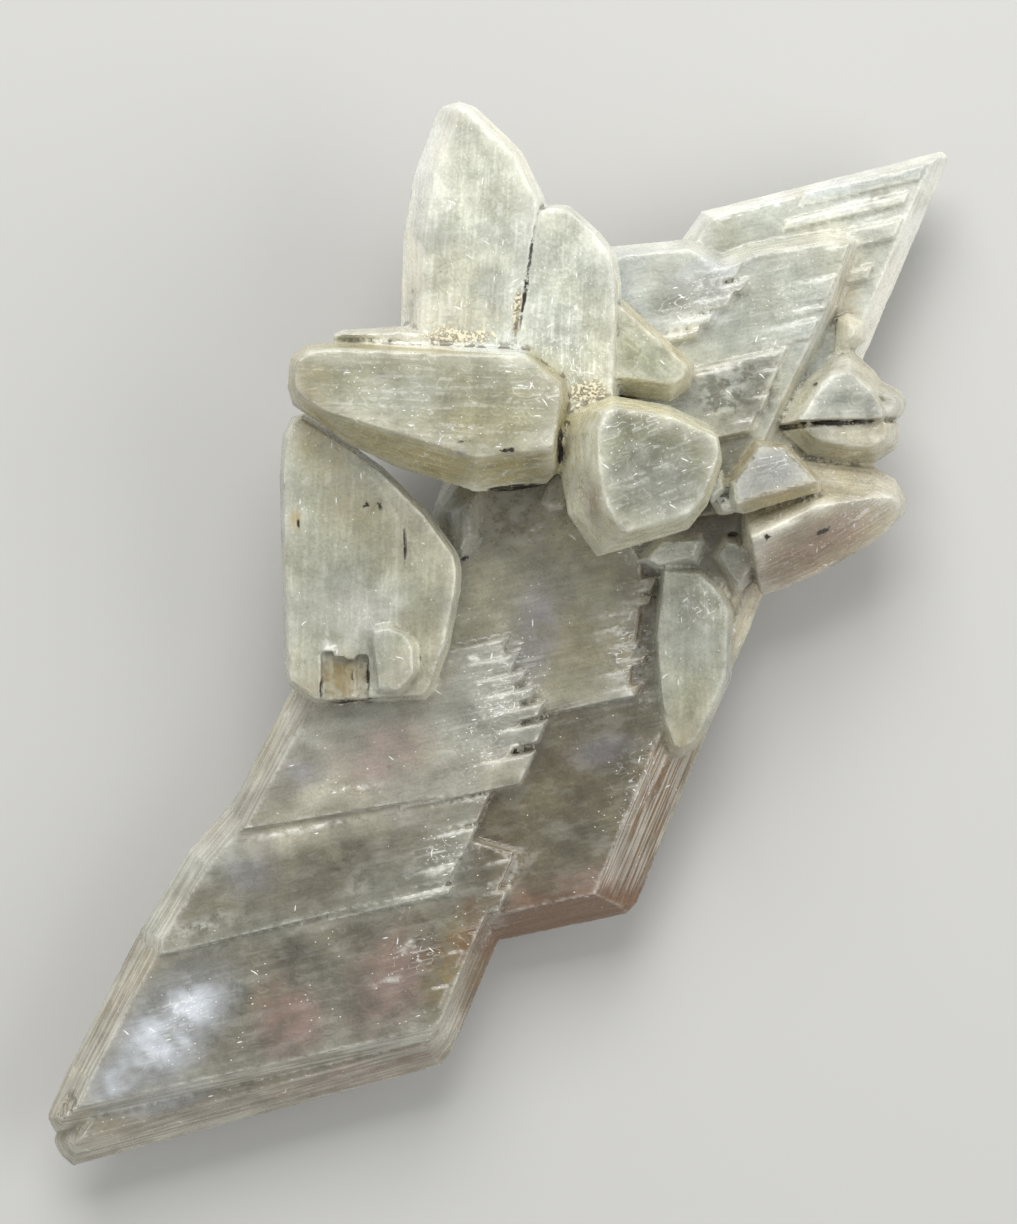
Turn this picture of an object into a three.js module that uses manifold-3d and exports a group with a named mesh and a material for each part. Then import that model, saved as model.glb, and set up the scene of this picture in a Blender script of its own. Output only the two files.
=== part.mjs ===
// A cluster of selenite (gypsum) blades, intergrown into one solid, in millimetres.
// It lies on its back: +Z is up off the surface, +Y runs towards the tall blade's tip.
//
// Every blade is a flat-faced convex crystal. Its widest contour, the ridge, lies in a
// plane that may be tilted, and each edge of the ridge has one face that leans in above
// it and one that leans in below it, up to a flat front face and a flat back face.
import * as THREE from "three";
import { ConvexGeometry } from "three/addons/geometries/ConvexGeometry.js";
import { mergeVertices } from "three/addons/utils/BufferGeometryUtils.js";
import Module from "manifold-3d";

// The outlines are drawn as they are seen from an eye straight above the cluster, so a
// blade that lies higher is drawn in towards the axis of sight by its share of the way up.
const EYE = { x: 1.05, y: 2.25, height: 520 };
const DRAWING_HEIGHT = 16; // an outline at this height is drawn at its true size

// Moves the finished cluster so that the origin is under the middle of its bounding box.
const TO_ORIGIN = [0, 0.75, 0];

// The long plates of the trunk all grow along one direction, a little above +X.
const GROWTH_ANGLE = THREE.MathUtils.degToRad(12.5);
const END_ANGLE = THREE.MathUtils.degToRad(66); // the ends of the plates run this way

// Each blade: its ridge outline counter-clockwise, the height of its ridge plane at the
// outline's mean point, the plane's climb for each millimetre along X and Y, how far the
// front and back faces lie from that plane, and how far the sloping faces run in from the
// ridge. `runs` overrides the run of single edges, counted from the outline's first point.
const trunk = [
  { // the thick plate that carries the rest, its lower end bare
    name: "main plate", z: 8.2, up: 5.4, down: 6.4, run: 3.4,
    runs: { 0: 3.0, 1: 3.6, 2: 4.6 },
    outline: [[-22.8, -35.5], [13.0, -27.9], [13.9, -26.9], [32.8, 18.8], [10.2, 30.4],
      [0.2, 30.4], [-6.7, 12.2]],
  },
  { // the long plate behind, which ends in the bright upper right tip
    name: "tip plate", z: 8.6, up: 3.0, down: 4.0, run: 1.4, climb: [0.02, 0.03],
    runs: { 1: 1.7, 4: 1.1 },
    outline: [[11.2, -0.5], [24.7, -0.5], [44.7, 46.8], [45.0, 47.8], [44.3, 48.3],
      [20.2, 42.3], [6.2, 21.5]],
  },
  {
    name: "upper terrace", z: 11.2, up: 3.8, down: 4.0, run: 1.5, climb: [0, 0.02],
    outline: [[14.2, 9.4], [24.2, 11.0], [34.3, 32.6], [36.2, 38.2], [36.3, 39.9],
      [33.2, 40.5], [24.9, 39.1], [20.2, 37.2], [10.2, 23.4]],
  },
  {
    name: "upper left terrace", z: 11.6, up: 4.5, down: 4.0, run: 1.4,
    outline: [[3.2, 30.4], [10.2, 23.4], [19.2, 30.0], [23.5, 34.2], [24.1, 35.8],
      [23.0, 37.5], [19.2, 39.6], [11.9, 38.9], [5.7, 38.2]],
  },
  {
    name: "middle terrace", z: 13.5, up: 2.7, down: 2.5, run: 1.1,
    outline: [[10.2, 23.4], [14.2, 17.4], [25.9, 19.8], [29.2, 28.2], [28.8, 29.0],
      [19.2, 26.9]],
  },
  { // lower blade: a back plate and three front plates that lap like shingles
    name: "lower blade back", z: 8.4, up: 4.3, down: 4.4, run: 2.9,
    runs: { 4: 2.2, 5: 2.2 },
    outline: [[-44.5, -50.7], [-43.8, -52.1], [-42.5, -53.2], [-5.7, -43.1],
      [-4.6, -41.7], [0.0, -30.7], [9.2, -8.7], [-16.8, -8.5], [-43.8, -48.5]],
  },
  {
    name: "lower blade tip", z: 11.2, up: 3.7, down: 3.4, run: 2.7,
    runs: { 1: 2.4, 2: 1.6, 3: 1.0, 4: 0.7, 5: 1.2 },
    outline: [[-45.2, -48.3], [-44.3, -49.9], [-7.0, -41.6], [-5.6, -40.4], [2.7, -21.1],
      [1.7, -20.5], [-19.8, -14.5], [-35.5, -28.9], [-42.8, -43.0]],
  },
  {
    name: "lower blade middle", z: 11.8, up: 3.7, down: 3.4, run: 2.5,
    runs: { 0: 0.9, 1: 0.8, 2: 0.8 },
    outline: [[-36.2, -33.3], [-5.0, -25.8], [-2.6, -21.5], [-2.6, -13.5], [-25.6, -15.5],
      [-30.8, -21.5], [-35.7, -29.5]],
  },
  {
    name: "lower blade upper", z: 12.2, up: 4.0, down: 3.6, run: 2.6,
    runs: { 0: 0.9, 1: 0.8, 2: 0.7, 3: 0.7, 4: 0.7, 5: 0.6, 6: 1.0 },
    outline: [[-28.6, -20.7], [-2.4, -16.4], [0.4, -14.4], [2.6, -10.5], [3.0, -7.7],
      [1.2, -1.2], [-4.8, -0.6], [-19.8, -3.9], [-20.8, -5.7]],
  },
  {
    name: "main plate skin", z: 12.9, up: 1.6, down: 1.6, run: 0.8,
    outline: [[-5.0, -8.5], [4.0, -8.5], [13.6, -6.2], [14.8, 3.0], [14.9, 7.5],
      [10.0, 16.0], [-4.0, 16.0], [-6.7, 12.2]],
  },
  { // the short upright blade let into the main plate's right side
    name: "inset blade", z: 12.0, up: 3.4, down: 4.0, run: 0.8, climb: [-0.06, 0.08],
    runs: { 0: 0.5, 1: 1.0, 2: 1.1, 3: 1.0, 9: 0.5, 10: 0.5 },
    outline: [[15.3, 0.0], [16.2, -10.2], [16.9, -12.1], [18.3, -12.4], [19.7, -11.6],
      [20.9, -9.8], [23.4, -4.4], [23.6, 2.5], [22.3, 4.9], [20.5, 6.6], [16.1, 6.8]],
  },
];

const crown = [
  { // the tall blade at the top
    name: "tall blade", z: 23.6, up: 4.3, down: 4.4, run: 2.3, climb: [0, 0.1],
    runs: { 1: 1.0, 2: 1.0, 3: 1.1, 4: 1.2, 5: 1.0, 6: 1.0, 7: 1.6 },
    outline: [[-9.9, 24.0], [2.0, 24.0], [4.9, 42.5], [4.6, 44.0], [2.5, 48.3],
      [-2.2, 52.7], [-3.8, 53.3], [-5.5, 52.8], [-6.4, 51.6], [-8.5, 46.0],
      [-9.6, 39.6], [-9.9, 31.0]],
  },
  {
    name: "second tall blade", z: 22.0, up: 4.4, down: 5.0, run: 0.8, climb: [-0.14, 0.04],
    runs: { 8: 0.5, 9: 0.5 },
    outline: [[1.3, 21.0], [12.0, 21.0], [12.4, 30.4], [12.4, 35.0], [12.0, 38.0],
      [10.1, 40.4], [7.2, 42.9], [5.4, 43.0], [2.8, 42.6], [1.3, 28.0]],
  },
  { // the blade that lies across, pointing left
    name: "cross blade", z: 26.4, up: 6.0, down: 6.2, run: 1.0, climb: [-0.07, 0.02],
    runs: { 2: 1.2, 3: 1.7, 4: 3.2, 5: 3.4, 6: 0.9, 7: 0.9 },
    outline: [[-21.1, 25.0], [-20.6, 23.0], [-19.2, 22.0], [-14.4, 18.7], [-10.0, 16.6],
      [-2.2, 14.2], [4.8, 15.0], [6.0, 16.3], [7.2, 23.6], [6.8, 25.6], [3.0, 28.6],
      [-16.5, 29.3], [-19.1, 29.0], [-20.8, 27.6]],
  },
  {
    name: "cross blade sliver", z: 24.4, up: 3.0, down: 3.0, run: 0.8, climb: [-0.07, 0],
    outline: [[-16.5, 29.3], [-6.0, 28.0], [-6.0, 30.6], [-10.0, 30.9], [-15.6, 30.5],
      [-16.5, 30.0]],
  },
  { // the upright blade on the left, its foot on the lower blade
    name: "left blade", z: 19.0, up: 4.0, down: 4.2, run: 0.6, climb: [-0.02, 0.13],
    outline: [[-21.0, -5.2], [-18.4, -7.0], [-7.3, -6.6], [-6.4, -5.6], [-4.8, -1.1],
      [-3.7, 4.5], [-3.6, 6.5], [-4.0, 8.2], [-7.0, 12.3], [-11.3, 16.6], [-14.4, 18.9],
      [-19.2, 22.0], [-20.6, 21.7], [-21.5, 19.9], [-21.8, 16.1], [-21.7, 6.0],
      [-21.3, -4.3]],
  },
  {
    name: "left blade lath", z: 19.9, up: 3.4, down: 3.0, run: 0.8, climb: [-0.02, 0.13],
    outline: [[-21.0, -5.2], [-18.4, -6.8], [-9.4, -6.4], [-9.2, 12.0], [-11.6, 16.0],
      [-19.0, 21.0], [-20.6, 20.4], [-21.4, 16.1], [-21.4, 6.0]],
  },
  {
    name: "left blade foot", z: 19.6, up: 4.0, down: 3.0, run: 0.9, climb: [0, 0.13],
    outline: [[-12.6, -6.3], [-9.5, -6.4], [-7.5, -4.2], [-7.6, -1.1], [-8.5, 0.5],
      [-11.0, 1.7], [-13.1, 1.0], [-13.2, -0.6]],
  },
  { // the stubby block that points straight at the eye
    name: "front block", z: 24.6, up: 9.4, down: 12.0, run: 1.6, climb: [-0.1, -0.04],
    runs: { 0: 1.4, 1: 1.0, 2: 0.8, 3: 0.6, 4: 0.6, 5: 1.4, 8: 3.2, 9: 3.7, 10: 3.7, 11: 3.4 },
    outline: [[9.8, 7.7], [19.1, 10.5], [20.9, 12.8], [22.5, 17.2], [22.1, 19.8],
      [21.0, 21.2], [17.1, 23.0], [11.2, 24.0], [7.2, 22.4], [6.1, 19.3], [6.2, 16.1],
      [7.0, 11.7]],
  },
  {
    name: "flake beside the block", z: 16.4, up: 1.2, down: 4.0, run: 0.5,
    outline: [[4.2, 13.2], [5.0, 12.2], [6.6, 12.5], [7.6, 16.0], [6.0, 16.2], [4.9, 15.0]],
  },
  {
    name: "wedge", z: 18.8, up: 5.0, down: 5.0, run: 1.0, climb: [-0.18, 0],
    runs: { 0: 1.6, 1: 1.2, 6: 1.6 },
    outline: [[12.2, 23.9], [17.2, 23.2], [19.4, 24.8], [19.8, 27.0], [12.4, 33.6],
      [10.5, 33.0], [10.5, 24.2]],
  },
];

const rightSide = [
  {
    name: "upper right knob", z: 12.4, up: 5.2, down: 5.0, run: 1.4, climb: [-0.14, 0],
    runs: { 0: 0.3, 3: 2.0, 4: 2.4, 5: 2.2 },
    outline: [[28.1, 20.9], [39.4, 21.2], [40.0, 22.4], [38.4, 25.5], [37.6, 26.7],
      [35.4, 28.6], [33.4, 28.0], [30.9, 25.6]],
  },
  {
    name: "upper right knob's tip", z: 11.8, up: 3.8, down: 3.6, run: 1.4, climb: [-0.14, 0],
    runs: { 0: 0.3 },
    outline: [[35.6, 21.3], [40.3, 21.6], [40.9, 22.6], [41.0, 23.4], [40.4, 24.4],
      [38.0, 25.6], [36.0, 25.2]],
  },
  {
    name: "lower right knob", z: 11.4, up: 4.8, down: 5.0, run: 1.6, climb: [-0.12, 0],
    runs: { 5: 0.5, 6: 0.3, 7: 0.3 },
    outline: [[28.2, 20.3], [30.9, 17.9], [34.7, 17.1], [37.7, 17.1], [39.9, 18.5],
      [40.3, 20.8], [39.8, 21.3], [32.2, 21.1]],
  },
  {
    name: "small knob", z: 12.6, up: 2.2, down: 3.0, run: 1.2,
    outline: [[33.4, 27.8], [35.4, 28.2], [36.9, 29.4], [36.8, 31.2], [35.0, 32.3],
      [33.8, 31.6]],
  },
  { // the wedge that points right, with a crest along its middle
    name: "right wedge", z: 11.6, up: 9.0, down: 6.4, run: 3.0, climb: [-0.05, 0],
    runs: { 0: 5.4, 1: 5.8, 2: 5.8, 3: 5.0, 4: 3.2, 7: 4.2, 8: 4.6, 9: 4.6, 10: 0.8, 11: 0.8 },
    outline: [[26.3, 3.8], [29.0, 4.6], [32.2, 6.0], [35.9, 8.1], [38.4, 9.7],
      [40.8, 12.1], [41.0, 13.5], [39.7, 15.8], [37.6, 16.8], [30.6, 17.5], [24.2, 14.4],
      [24.0, 9.4]],
  },
  {
    name: "small plate", z: 19.4, up: 2.6, down: 7.0, run: 0.6, climb: [0.02, -0.34],
    runs: { 2: 1.2 },
    outline: [[23.0, 13.2], [23.5, 12.2], [24.7, 12.0], [32.3, 14.2], [32.4, 15.4],
      [30.6, 17.5], [29.0, 19.1], [25.8, 19.6], [22.8, 15.4]],
  },
  {
    name: "upper chip", z: 20.0, up: 2.0, down: 6.0, run: 0.6, climb: [0.1, -0.2],
    outline: [[20.4, 15.4], [20.7, 13.8], [21.4, 13.1], [22.9, 14.4], [22.6, 16.6]],
  },
  {
    name: "lower chip", z: 18.6, up: 2.0, down: 7.0, run: 0.5, climb: [0.1, -0.3],
    outline: [[21.3, 13.1], [22.0, 11.9], [23.7, 12.1], [22.9, 13.9]],
  },
  {
    name: "shaded crystal", z: 12.4, up: 3.2, down: 4.0, run: 1.1, climb: [0, 0.06],
    outline: [[20.7, 7.8], [23.3, 3.9], [24.4, 4.2], [26.8, 6.8], [25.8, 8.8], [24.0, 10.0],
      [22.3, 10.3]],
  },
  {
    name: "ledge under the block", z: 13.6, up: 2.6, down: 3.0, run: 0.8,
    outline: [[13.7, 7.4], [15.7, 6.2], [19.9, 7.0], [20.8, 9.3], [20.4, 10.1], [16.1, 10.0]],
  },
  {
    name: "crystal in the gap's corner", z: 14.2, up: 2.6, down: 5.0, run: 1.0,
    climb: [0.3, 0], runs: { 4: 1.8 },
    outline: [[-5.4, 9.0], [-3.6, 7.2], [-1.8, 9.6], [-2.0, 14.4], [-5.6, 12.4]],
  },
];

const back = [
  {
    name: "blade behind the tall pair", z: 13.6, up: 4.2, down: 4.4, run: 1.8, climb: [0, 0.09],
    outline: [[-6.0, 20.0], [7.4, 20.0], [9.2, 35.0], [4.4, 40.6], [-2.6, 44.2],
      [-6.8, 40.4], [-8.0, 30.0]],
  },
  {
    name: "blade behind the cross blade", z: 15.8, up: 4.4, down: 4.4, run: 2.0,
    climb: [-0.12, 0],
    outline: [[-17.0, 23.8], [-12.0, 20.4], [3.0, 17.2], [5.0, 24.0], [-4.0, 27.6],
      [-16.0, 27.6]],
  },
  {
    name: "blade behind the left blade", z: 11.4, up: 4.6, down: 3.6, run: 1.6,
    climb: [-0.04, 0.12],
    outline: [[-19.0, -5.0], [-8.0, -6.0], [-6.4, 3.0], [-9.6, 9.4], [-14.6, 12.4],
      [-19.6, 8.0]],
  },
  {
    name: "blade behind the right wedge", z: 7.6, up: 3.4, down: 3.4, run: 1.6,
    climb: [0.1, 0],
    outline: [[19.0, 4.0], [30.0, 7.4], [36.6, 12.0], [36.0, 15.6], [22.0, 15.0]],
  },
];

// Growth terraces on the back. Their lowest faces share one plane, so the cluster rests.
const FOOT = { z: 2.4, down: 2.4 };
const feet = [
  {
    name: "back terrace, lower", ...FOOT, up: 2.6, run: 1.3,
    outline: [[-31.0, -42.6], [-9.0, -37.2], [-1.2, -19.0], [-20.6, -22.4]],
  },
  {
    name: "back terrace, right", ...FOOT, up: 2.2, run: 1.1,
    outline: [[3.0, -24.6], [11.2, -22.8], [24.6, 9.4], [15.2, 7.6]],
  },
  {
    name: "back terrace, top", ...FOOT, up: 3.6, run: 1.4,
    outline: [[16.6, 20.6], [28.6, 22.8], [37.0, 42.0], [24.4, 39.4]],
  },
  {
    name: "back terrace, left", ...FOOT, up: 2.4, run: 1.2,
    outline: [[-9.2, -8.0], [1.6, -5.8], [8.6, 27.4], [-0.6, 25.2]],
  },
];

// Thin laths that end in steps. Each one rises out of its plate towards its end, where it
// stands proud by the lath's step: the height of the plate's face, and for each lath the
// place of its end and its width.
const LATH = { length: 13, thickness: 3.2, run: 0.3, climb: 0.06 };
const lathSteps = [
  { // the staircase along the right side of the lower blade's upper plate
    face: 16.2, step: 0.4,
    ends: [[0.9, -0.9, 1.6], [1.9, -2.6, 1.8], [2.7, -4.1, 1.4], [3.7, -5.7, 1.5],
      [4.5, -7.4, 1.7], [4.6, -9.6, 2.3], [3.2, -13.2, 3.2]],
  },
  { // the shingle edges of the plates below it
    face: 15.5, step: 0.35,
    ends: [[-1.2, -17.2, 3.0], [-2.6, -20.6, 3.0], [-4.2, -23.6, 2.0], [-4.4, -25.4, 1.2]],
  },
  {
    face: 14.9, step: 0.2,
    ends: [[1.2, -23.4, 2.6], [0.8, -26.4, 2.4], [-3.4, -32.2, 2.2], [-5.0, -36.0, 2.6]],
  },
  { // the ragged ledge beside the inset blade
    face: 14.4, step: 0.4,
    ends: [[15.9, 5.2, 1.8], [15.5, 3.6, 1.2], [13.6, 2.0, 1.5], [12.6, 0.4, 1.4],
      [14.2, -1.0, 1.2], [14.9, -2.4, 1.3], [13.4, -3.8, 1.3], [14.2, -5.4, 1.5]],
  },
  { // the ends of the upper terraces
    face: 16.1, step: 0.3,
    ends: [[24.3, 36.4, 1.8], [24.9, 34.9, 1.4], [23.4, 33.4, 1.6], [21.6, 31.6, 1.4],
      [20.2, 30.2, 1.2]],
  },
  {
    face: 16.1, step: 0.3,
    ends: [[28.7, 27.9, 1.6], [27.8, 25.7, 2.2], [26.9, 23.2, 2.0], [25.6, 21.0, 1.6]],
  },
  {
    face: 15.2, step: 0.2,
    ends: [[35.0, 38.2, 2.0], [33.6, 34.8, 2.6], [31.8, 30.6, 2.2], [33.0, 32.8, 1.0]],
  },
  { // bare laths near the upper right tip
    face: 12.9, step: 0.15,
    ends: [[42.6, 46.2, 1.8], [41.0, 43.6, 1.4], [40.2, 40.6, 2.2], [37.4, 36.2, 1.6]],
  },
];
const backLathSteps = [
  { // the same on the back, between the growth terraces
    face: 1.8, step: 0.9,
    ends: [[3.8, -12.0, 3.0], [5.0, -8.4, 2.2], [7.2, -4.4, 2.6], [12.8, 14.0, 3.0],
      [14.0, 18.2, 2.4]],
  },
  {
    face: 4.0, step: 1.0,
    ends: [[-3.0, -33.6, 2.6], [-6.4, -38.6, 2.2], [-23.0, -43.4, 2.4]],
  },
];

// A broken recess in the foot of the left blade, in strips side by side. Each strip has
// its left and right side, the height of its upper end, and its depth under the face. It
// reaches a little into the next one, so that no thin wall is left between them.
const NOTCH = { face: 21.8, foot: -7.6, run: 0.01, clearance: 3, climb: [0, 0.13], overlap: 0.15 };
const notchStrips = [
  [-17.7, -16.6, -1.7, 1.2], [-16.6, -15.4, -2.2, 1.35], [-15.4, -14.2, -2.5, 1.25],
  [-14.2, -13.1, -2.0, 1.5],
];

const SELENITE = new THREE.MeshStandardMaterial({
  color: "#c9c6b8",
  roughness: 0.28,
  metalness: 0,
});

const wasm = await Module();
wasm.setup();

// The outline's mean point.
function meanPoint(outline) {
  const total = outline.reduce(([a, b], [x, y]) => [a + x, b + y], [0, 0]);
  return total.map((sum) => sum / outline.length);
}

// A point of an outline at a height, drawn in towards the axis of sight.
function sighted([x, y], height) {
  const share = (EYE.height - height) / (EYE.height - DRAWING_HEIGHT);
  return new THREE.Vector2(EYE.x + (x - EYE.x) * share, EYE.y + (y - EYE.y) * share);
}

// The faces of a blade before it is tilted: planes whose normals point out of it.
function facesOf({ outline, z, up, down, run, runs = {} }) {
  const ridge = outline.map((point) => sighted(point, z));
  const faces = [
    new THREE.Plane(new THREE.Vector3(0, 0, 1), -up),
    new THREE.Plane(new THREE.Vector3(0, 0, -1), -down),
  ];
  ridge.forEach((start, i) => {
    const along = ridge[(i + 1) % ridge.length].clone().sub(start);
    const outwards = new THREE.Vector2(along.y, -along.x).normalize();
    const edgeRun = runs[i] ?? run;
    for (const lean of [edgeRun / up, -edgeRun / down]) {
      const normal = new THREE.Vector3(outwards.x, outwards.y, lean).normalize();
      const onRidge = new THREE.Vector3(start.x, start.y, 0);
      faces.push(new THREE.Plane().setFromNormalAndCoplanarPoint(normal, onRidge));
    }
  });
  return faces;
}

// The corners of a convex solid: where three of its faces meet and no face cuts them off.
function cornersOf(faces) {
  const TOLERANCE = 1e-4;
  const corners = new Map();
  const inverse = new THREE.Matrix3();
  for (let i = 0; i < faces.length; i++)
    for (let j = i + 1; j < faces.length; j++)
      for (let k = j + 1; k < faces.length; k++) {
        const [a, b, c] = [faces[i].normal, faces[j].normal, faces[k].normal];
        inverse.set(a.x, a.y, a.z, b.x, b.y, b.z, c.x, c.y, c.z);
        if (Math.abs(inverse.determinant()) < 1e-6) continue;
        const corner = new THREE.Vector3(-faces[i].constant, -faces[j].constant,
          -faces[k].constant).applyMatrix3(inverse.invert());
        if (faces.some((face) => face.distanceToPoint(corner) > TOLERANCE)) continue;
        corners.set(corner.toArray().map((v) => v.toFixed(3)).join(" "), corner);
      }
  return [...corners.values()];
}

// A geometry as a solid that can be joined and cut.
function solidOf(geometry) {
  const bare = geometry.clone();
  bare.deleteAttribute("normal");
  bare.deleteAttribute("uv");
  const merged = mergeVertices(bare, 1e-4);
  return new wasm.Manifold(new wasm.Mesh({
    numProp: 3,
    vertProperties: merged.attributes.position.array,
    triVerts: new Uint32Array(merged.index.array),
  }));
}

// One blade in place. The tilt slides each point up or down, so its outline seen from
// above stays as drawn.
function blade(crystal) {
  const [climbX, climbY] = crystal.climb ?? [0, 0];
  const middle = sighted(meanPoint(crystal.outline), crystal.z);
  const tilt = new THREE.Matrix4().set(
    1, 0, 0, 0,
    0, 1, 0, 0,
    climbX, climbY, 1, crystal.z - climbX * middle.x - climbY * middle.y,
    0, 0, 0, 1);
  const geometry = new ConvexGeometry(cornersOf(facesOf(crystal)));
  return solidOf(geometry.applyMatrix4(tilt));
}

// A thin lath that grows along the trunk and ends at a point. `facing` is 1 for a face
// that looks up and -1 for one on the back.
function lath([x, y, width], face, step, facing) {
  const back = new THREE.Vector2(-LATH.length, 0).rotateAround(new THREE.Vector2(), GROWTH_ANGLE);
  const side = new THREE.Vector2(width / 2 / Math.sin(END_ANGLE - GROWTH_ANGLE), 0)
    .rotateAround(new THREE.Vector2(), END_ANGLE);
  const end = new THREE.Vector2(x, y);
  const corners = [
    end.clone().add(back).sub(side),
    end.clone().sub(side),
    end.clone().add(side),
    end.clone().add(back).add(side),
  ];
  const half = LATH.thickness / 2;
  const sinkAtMiddle = (LATH.climb * LATH.length) / 2;
  return blade({
    outline: corners.map((corner) => corner.toArray()),
    z: face + facing * (step - half - sinkAtMiddle),
    up: half, down: half, run: LATH.run, climb: [facing * LATH.climb, 0],
  });
}

// What is cut out for one strip of the notch.
function notchStrip([left, right, top, depth]) {
  const { face, foot, run, clearance, climb, overlap } = NOTCH;
  const end = right + overlap;
  return blade({
    outline: [[left, foot], [end, foot], [end, top], [left, top]],
    z: face, up: clearance, down: depth, run, climb,
  });
}

const blades = [...trunk, ...crown, ...rightSide, ...back, ...feet].map(blade);
const laths = [
  ...lathSteps.flatMap(({ face, step, ends }) => ends.map((end) => lath(end, face, step, 1))),
  ...backLathSteps.flatMap(({ face, step, ends }) => ends.map((end) => lath(end, face, step, -1))),
];

const grown = blades.reduce((whole, piece) => whole.add(piece));
const broken = notchStrips.map(notchStrip).reduce((whole, cut) => whole.subtract(cut), grown);
const cluster = laths.reduce((whole, piece) => whole.add(piece), broken).translate(TO_ORIGIN);

// A solid as a three.js geometry.
function geometryOf(solid) {
  const mesh = solid.getMesh();
  const geometry = new THREE.BufferGeometry();
  geometry.setAttribute("position", new THREE.BufferAttribute(mesh.vertProperties, 3));
  geometry.setIndex(new THREE.BufferAttribute(mesh.triVerts, 1));
  return geometry;
}

const selenite = new THREE.Mesh(geometryOf(cluster), SELENITE);
selenite.name = "selenite_cluster";

const specimen = new THREE.Group();
specimen.add(selenite);

export default specimen;
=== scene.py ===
"""Selenite cluster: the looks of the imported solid, a plain studio, and the camera over it.

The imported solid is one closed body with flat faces. A copy of it is remeshed finely, given
the relief that selenite grows with, and dressed in one frosted, see-through finish whose
tint, haze and marks follow the blades.
"""

import logging
import math
from collections.abc import Callable
from dataclasses import dataclass, field
from enum import Enum
from functools import partial
from typing import Any, ClassVar

import bpy
import numpy as np
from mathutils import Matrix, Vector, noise
from mathutils.bvhtree import BVHTree

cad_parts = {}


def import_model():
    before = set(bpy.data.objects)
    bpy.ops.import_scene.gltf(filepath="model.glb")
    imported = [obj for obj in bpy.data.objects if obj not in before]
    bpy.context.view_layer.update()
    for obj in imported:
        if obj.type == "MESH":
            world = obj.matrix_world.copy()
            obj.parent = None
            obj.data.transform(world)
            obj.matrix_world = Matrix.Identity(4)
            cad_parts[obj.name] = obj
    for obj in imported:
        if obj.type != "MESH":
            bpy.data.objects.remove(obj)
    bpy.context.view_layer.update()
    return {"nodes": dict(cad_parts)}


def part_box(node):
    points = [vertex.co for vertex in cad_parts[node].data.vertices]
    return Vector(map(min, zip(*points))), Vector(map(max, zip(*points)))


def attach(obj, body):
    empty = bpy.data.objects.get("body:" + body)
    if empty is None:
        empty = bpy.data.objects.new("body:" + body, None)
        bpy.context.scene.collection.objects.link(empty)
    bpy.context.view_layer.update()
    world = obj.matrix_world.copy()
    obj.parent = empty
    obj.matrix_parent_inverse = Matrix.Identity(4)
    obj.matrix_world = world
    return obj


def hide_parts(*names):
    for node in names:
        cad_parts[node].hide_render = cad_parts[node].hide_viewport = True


MM = 0.001
# Each blade takes its patterns from a place of its own, this far from the last one's.
BLADE_SHIFT_MM = 31.0
log = logging.getLogger("selenite")

# Adds a node to one material and hands back one of its outputs.
NodeAdder = Callable[..., bpy.types.NodeSocket]
# Outputs of nodes, by what they stand for.
Sockets = dict[str, bpy.types.NodeSocket]


def linear(hex_colour: str) -> tuple[float, float, float, float]:
    """Turns an sRGB colour into the linear one that Blender's sockets hold.

    Args:
        hex_colour: the colour as "#rrggbb".

    Returns:
        Red, green, blue and an alpha of 1.
    """
    channels = [int(hex_colour[i : i + 2], 16) / 255 for i in (1, 3, 5)]
    return (*[c / 12.92 if c <= 0.04045 else ((c + 0.055) / 1.055) ** 2.4 for c in channels], 1.0)


def add_node(
    tree: bpy.types.NodeTree,
    kind: str,
    inputs: dict[int | str, Any],
    output: int | str = 0,
    **settings: Any,
) -> bpy.types.NodeSocket | None:
    """Adds a node with its settings and links.

    Args:
        tree: the material's node tree.
        kind: the node's type, such as "ShaderNodeMix".
        inputs: for each input's index or name, the socket that feeds it or its fixed value.
            A colour mix has the share as 0 and its two colours as 6 and 7.
        output: the index or name of the output to hand back.
        settings: the node's own properties.

    Returns:
        The output socket asked for, or None for a node that has no output.
    """
    node = tree.nodes.new(kind)
    for name, value in settings.items():
        setattr(node, name, value)
    for key, value in inputs.items():
        if isinstance(value, bpy.types.NodeSocket):
            tree.links.new(value, node.inputs[key])
        else:
            node.inputs[key].default_value = value
    return node.outputs[output] if len(node.outputs) else None


def only_select(piece: bpy.types.Object) -> None:
    """Deselects everything else, so that an operator acts on this piece alone.

    Args:
        piece: the object that the next operators work on.
    """
    bpy.ops.object.select_all(action="DESELECT")
    piece.select_set(True)
    bpy.context.view_layer.objects.active = piece


@dataclass(frozen=True)
class Sight:
    """How the outlines were drawn: from an eye above the cluster, at one height's true size.

    All of it is in millimetres.
    """

    eye_x: float = 1.05
    eye_y: float = 2.25
    eye_height: float = 520.0
    drawing_height: float = 16.0
    to_origin_y: float = 0.75
    frame_height: float = 122.4

    def drawn(self, points: np.ndarray) -> np.ndarray:
        """Finds where points of the cluster lie in the drawing.

        Args:
            points: places in the row frame, in millimetres, one per line.

        Returns:
            The drawing's x and y for each, in millimetres.
        """
        share = (self.eye_height - points[:, 2]) / (self.eye_height - self.drawing_height)
        eye = np.array([self.eye_x, self.eye_y])
        flat = points[:, :2] - [0.0, self.to_origin_y]
        return eye + (flat - eye) / share[:, None]


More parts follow.
